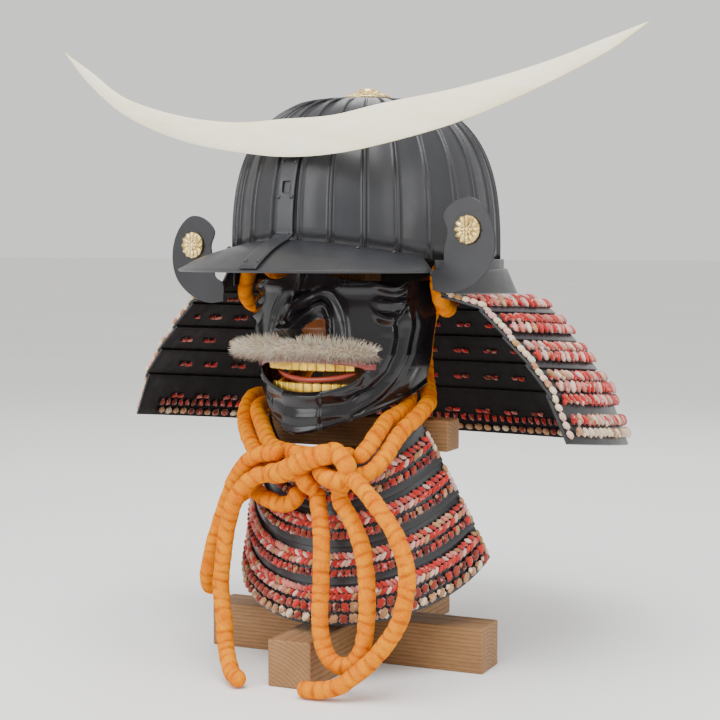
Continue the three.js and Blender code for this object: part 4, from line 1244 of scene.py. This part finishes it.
def makeTeeth():
    seat, thick, easing = toothShape["seat"], toothShape["thick"], toothShape["easing"]
    reach = maskShape["mouth"]["half"] * toothShape["reach"]
    for node, row in toothShape["rows"].items():
        bm = bmesh.new()
        middle, tall = (row["tip"] + row["root"]) / 2, abs(row["tip"] - row["root"]) / 2
        for i in range(row["count"]):
            u = reach * (2 * (i + 0.5) / row["count"] - 1)
            place = maskSheet(u, middle, -seat)
            wide = (maskSheet(u + 0.01, middle, -seat) - place).length * 100 * reach / row["count"]
            tooth = bmesh.ops.create_cube(bm, size=1)["verts"]
            bmesh.ops.scale(bm, verts=tooth, vec=(toothShape["fill"] * wide, 2 * thick, 2 * tall))
            angle = math.atan2(math.sin(u * math.pi / 2) * 0.075, math.cos(u * math.pi / 2) * 0.080)
            bmesh.ops.rotate(bm, verts=tooth, cent=(0, 0, 0), matrix=Matrix.Rotation(angle, 3, "Z"))
            bmesh.ops.translate(bm, verts=tooth, vec=place)
        corners = {"offset": easing, "segments": 4, "profile": 0.5}
        bmesh.ops.bevel(bm, geom=bm.edges[:], affect="EDGES", material=-1, **corners)
        addPiece(welded(bm, node + "_gilt", 1e-7), [toothGilt], "gilt", node)
    addPiece(welded(gridSheet(60, 12, gumPoint), "gum_line"), [gumLacquer], None)


# moustache: a padded core with thousands of tapering hairs rooted in it

hairShape = {
    "half": 0.072,
    "z": 0.266,
    "front": -0.126,
    "sweepBack": 0.027,
    "rise": 0.007,
    "fall": 0.009,
    "freeFrom": 0.62,
    "freeLean": 0.022,
    "hairs": 4600,
    "long": (0.0055, 0.0095),
    "tints": [(0.95, 0.84, 0.62), (1.0, 0.96, 0.84), (0.62, 0.40, 0.22), (0.97, 0.88, 0.68)],
    "below": (0.14, 0.05, 0.025),  # painted shade: downward-facing hairs are darkened towards this reddish brown
}


def hairMaterial():
    settings = {"Roughness": 0.75, "Sheen Weight": 0.5, "Subsurface Weight": 0.15}
    settings["Subsurface Radius"] = (0.004, 0.003, 0.002)
    material, tree, shader = newMaterial("creamHair", settings)
    tint = tinted(tree)
    streak = noiseAt(tree, placed(tree, scale=(1, 0.3, 0.5)), 900, 3)
    dress(tree, shader, blended(tree, tint, greyRamp(tree, streak, 0.75, 1.15), 0.7, "MULTIPLY"))
    bumped(tree, shader, streak, 0.3, 0.0003)
    return material


def hairMesh(name, bend):
    bm = bmesh.new()
    bmesh.ops.create_cone(bm, cap_ends=True, segments=3, radius1=0.036, radius2=0.004, depth=1)
    bmesh.ops.translate(bm, verts=bm.verts, vec=(0, 0, 0.5))
    for height in (0.3, 0.6, 0.82):
        whole = bm.verts[:] + bm.edges[:] + bm.faces[:]
        bmesh.ops.bisect_plane(bm, geom=whole, plane_co=(0, 0, height), plane_no=(0, 0, 1))
    for vert in bm.verts:
        vert.co.x += bend * vert.co.z ** 2
    bmesh.ops.recalc_face_normals(bm, faces=bm.faces)
    return strokeMesh(bm, name)


def corePoint(t, angle, size=1.0):
    x = hairShape["half"] * t * 0.96
    half = tableAt(maskShape["sections"], hairShape["z"], 1)
    share = math.asin(clamp(abs(x) / half, 0, 0.6)) * math.copysign(1, x) / (math.pi / 2)
    lean = hairShape["freeLean"] * max(0, abs(t) - hairShape["freeFrom"])
    back = maskSheet(share, hairShape["z"], 0.001).y - lean
    tip = hairShape["front"] + hairShape["sweepBack"] * t * t
    middle, depth = (back + tip) / 2, abs(back - tip) / 2
    tall = (hairShape["rise"] + hairShape["fall"]) / 2
    ends = math.sqrt(max(0.05, 1 - abs(t) ** 7))
    y = middle - 0.72 * size * depth * math.sin(angle)
    z = hairShape["z"] + 0.0015 - 0.003 * t * t + 0.62 * size * ends * tall * math.cos(angle)
    return Vector((x, y, z))


def makeMoustache():
    rng = random.Random(3)
    bm = gridSheet(90, 16, lambda u, v: corePoint(2 * u - 1, 2 * math.pi * v))
    bmesh.ops.remove_doubles(bm, verts=bm.verts, dist=1e-5)
    rims = [e for e in bm.edges if e.is_boundary]
    bmesh.ops.holes_fill(bm, edges=rims, sides=0)
    bmesh.ops.recalc_face_normals(bm, faces=bm.faces)
    core = strokeMesh(bm, "core")
    core.attributes["tint"].data.foreach_set("color", [0.45, 0.35, 0.24, 1] * len(core.vertices))
    bm = bmesh.new()
    bm.from_mesh(core)
    strands = [hairMesh(f"hair_{k}", bend) for k, bend in enumerate((0.12, 0.24, 0.38, -0.15))]
    for i in range(hairShape["hairs"]):
        t = rng.uniform(-1, 1)
        angle = rng.uniform(-0.35, math.pi + 0.35)
        root = corePoint(t, angle, 0.92)
        outward = (corePoint(t, angle, 1.3) - root).normalized()
        swept = outward + Vector((1.1 * t * abs(t) + 0.15 * t, -0.3, 0))
        aim = swept + Vector(rng.gauss(0, 0.22) for _ in range(3))
        aim.y = min(aim.y, 0.1)
        aim.normalize()
        long = rng.uniform(*hairShape["long"]) * (1 - 0.12 * abs(t) ** 3)
        spin = Matrix.Rotation(rng.uniform(0, 6.28), 4, "Z")
        turn = aim.to_track_quat("Z", "Y").to_matrix().to_4x4() @ spin
        tint = [c * rng.uniform(0.86, 1.06) for c in rng.choice(hairShape["tints"])]
        # painted shade: hairs facing down are darkened, the more the further they face down
        if outward.z < 0:
            tint = [mix(c, below, -0.8 * outward.z) for c, below in zip(tint, hairShape["below"])]
        placing = Matrix.Translation(root) @ turn @ Matrix.Scale(long, 4)
        addStroke(bm, strands[i % len(strands)], placing, tint)
    addPiece(meshOf(bm, "moustache_hair"), [hairMaterial()], "hair", "moustache")
    for spare in [core, *strands]:
        bpy.data.meshes.remove(spare)


makeMask()
makeTeeth()
makeMoustache()
print("mask, teeth and moustache made")

# throat guard, hung on the stand and turned with it

throatShape = {
    "turn": math.radians(8),
    "shift": (0.008, 0, 0),
    "top": {"half": 0.091, "front": 0.103, "z": 0.172, "fall": -0.0364, "endAngle": 50},
    "hem": {"half": 0.109, "front": 0.118, "z": 0.045, "fall": -0.045, "endAngle": 84},
    "pitches": [0.030, 0.030, 0.030, 0.032],
    "overlap": 0.005,
}
throatRow = {
    "out": 0.0036,
    "pitch": 0.0043,
    "tints": ["red", "rose", "blush", "tan"],
    "shares": [5, 2.5, 2, 1.2],
    "slants": (-0.75,),
    "stroke": (0.0045, 0.0021, 0.0022),
}
# painted shade: this row's darker wine and rust knots stand for the shadow in the lacing gap
gapShadeRow = {
    "out": 0.0042,
    "pitch": 0.0062,
    "tints": ["wine", "rust", "red", "tan"],
    "shares": [2, 4, 3, 1.5],
    "slants": (-0.9, 0.9),
    "stroke": (0.0042, 0.0021, 0.0018),
}
throatHem = {
    "out": 0.0042,
    "pitch": 0.0086,
    "tints": ["tan", "cream", "rust"],
    "shares": [4, 1.5, 3],
    "slants": (-0.8, 0.8),
    "stroke": (0.0048, 0.0030, 0.0020),
}
throatEdge = {
    "reach": 0.985,
    "tints": ["cream", "tan", "tan", "blush"],
    "slant": 1.3,
    "stroke": (0.0040, 0.0022, 0.0021),
}
throatHeight = throatShape["top"]["z"] - throatShape["hem"]["z"]
throatTurn = Matrix.Translation(throatShape["shift"]) @ Matrix.Rotation(throatShape["turn"], 4, "Z")


def throatPoint(u, down, out):
    share = down / throatHeight
    at = {key: mix(throatShape["top"][key], throatShape["hem"][key], share) for key in throatShape["top"]}
    angle = math.radians(u * at["endAngle"])
    x, y = (at["half"] + out) * math.sin(angle), -(at["front"] + out) * math.cos(angle)
    return throatTurn @ Vector((x, y, at["z"] - at["fall"] * u * u))


def makeThroatGuard():
    stroke, rng = puffedStroke(), random.Random(5)
    start = 0.0
    for i, pitch in enumerate(throatShape["pitches"], 1):
        end = start + pitch
        below = end + throatShape["overlap"]
        plateBetween(f"throat_plate_{i}", f"throat_lame_{i}", throatPoint, start, below, 96)
        rows = [
            {**throatRow, "down": start + 0.40 * pitch},
            {**throatRow, "down": start + 0.58 * pitch, "out": 0.0039, "slants": (0.75,)},
            {**gapShadeRow, "down": start + 0.84 * pitch},
        ]
        if i == len(throatShape["pitches"]):
            lower = {"out": 0.0040, "pitch": 0.0078, "stroke": (0.0048, 0.0030, 0.0022)}
            rows = [
                {**throatRow, "down": start + 0.28 * pitch},
                {**throatRow, "down": start + 0.44 * pitch, "out": 0.0038, "slants": (0.75,)},
                {**gapShadeRow, "down": start + 0.70 * pitch, **lower},
                {**throatHem, "down": start + 0.97 * pitch},
            ]
        bm = bmesh.new()
        for row in rows:
            laceRow(bm, stroke, throatPoint, row, rng)
        places = [(start + (0.38 + 0.19 * k) * pitch, 0.0024) for k in range(4)]
        boundEdge(bm, stroke, throatPoint, throatEdge, places, rng)
        addPiece(meshOf(bm, f"throat_knots_{i}"), [silkLace], "lacing", f"throat_lacing_{i}")
        start = end
    bpy.data.meshes.remove(stroke)


makeThroatGuard()
print("throat guard made")

# stand: pine rails, post and bar, their corners eased

standShape = {"turn": math.radians(8), "easing": 0.0014}
pineLook = {"light": (0.33, 0.185, 0.080), "dark": (0.21, 0.105, 0.042), "ringEvery": 0.0032}


def pineMaterial(name, grain, pith):
    material, tree, shader = newMaterial(name, {"Specular IOR Level": 0.35})
    straight = placed(tree, turn=(0, 0, -standShape["turn"]), move=pith)
    stretch = {"X": (0.12, 1, 1), "Y": (1, 0.12, 1), "Z": (1, 1, 0.12)}[grain]
    along = addNode(tree, "ShaderNodeMapping", {"Scale": stretch})
    tree.links.new(straight, along.inputs["Vector"])
    values = {"Scale": 0.314 / pineLook["ringEvery"], "Distortion": 2.2, "Detail": 3, "Detail Scale": 0.25}
    wave = {"wave_type": "RINGS", "rings_direction": grain, "wave_profile": "SAW"}
    rings = addNode(tree, "ShaderNodeTexWave", values, **wave)
    tree.links.new(along.outputs["Vector"], rings.inputs["Vector"])
    fibre, cloud = (noiseAt(tree, along.outputs["Vector"], scale, 3) for scale in (900, 40))
    light, dark = pineLook["light"], pineLook["dark"]
    between = tuple(mix(a, b, 0.45) for a, b in zip(light, dark))
    wood = rampOf(tree, rings.outputs["Fac"], [(0.0, light), (0.6, between), (0.95, dark)])
    patches = rampOf(tree, cloud, [(0.3, (0.75, 0.70, 0.62)), (0.7, (1.1, 1.05, 1.0))])
    patchy = blended(tree, wood, patches, 0.7, "MULTIPLY")
    fibred = blended(tree, patchy, greyRamp(tree, fibre, 0.72, 1.1), 0.6, "MULTIPLY")
    dress(tree, shader, fibred, greyRamp(tree, fibre, 0.75, 0.5))
    under = bumped(tree, shader, rings.outputs["Fac"], 0.12, 0.0006)
    bumped(tree, shader, fibre, 0.25, 0.0003, under)
    return material


def makeStand():
    boards = {  # node: grain axis, and where the pith lies
        "foot_rail_side": ("X", (0, 0.045, 0.028)),
        "foot_rail_front": ("Y", (0.030, 0, 0.034)),
        "post_lower": ("Z", (0.032, 0.055, 0)),
        "post_upper": ("Z", (0.032, 0.055, 0)),
        "cross_bar": ("X", (0, 0.052, -0.160)),
        "head_block": ("Y", (0.04, 0, -0.40)),
    }
    for node, (grain, pith) in boards.items():
        bm = bmesh.new()
        bm.from_mesh(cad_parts[node].data)
        bmesh.ops.remove_doubles(bm, verts=bm.verts, dist=1e-5)
        bmesh.ops.dissolve_limit(bm, angle_limit=math.radians(1), verts=bm.verts, edges=bm.edges)
        material = pineMaterial("pine_" + node, grain, pith)
        board = addPiece(welded(bm, node + "_pine"), [material], "pine", node, smooth=False)
        addModifier(board, "BEVEL", width=standShape["easing"], segments=3, limit_method="ANGLE")


makeStand()
print("stand made")
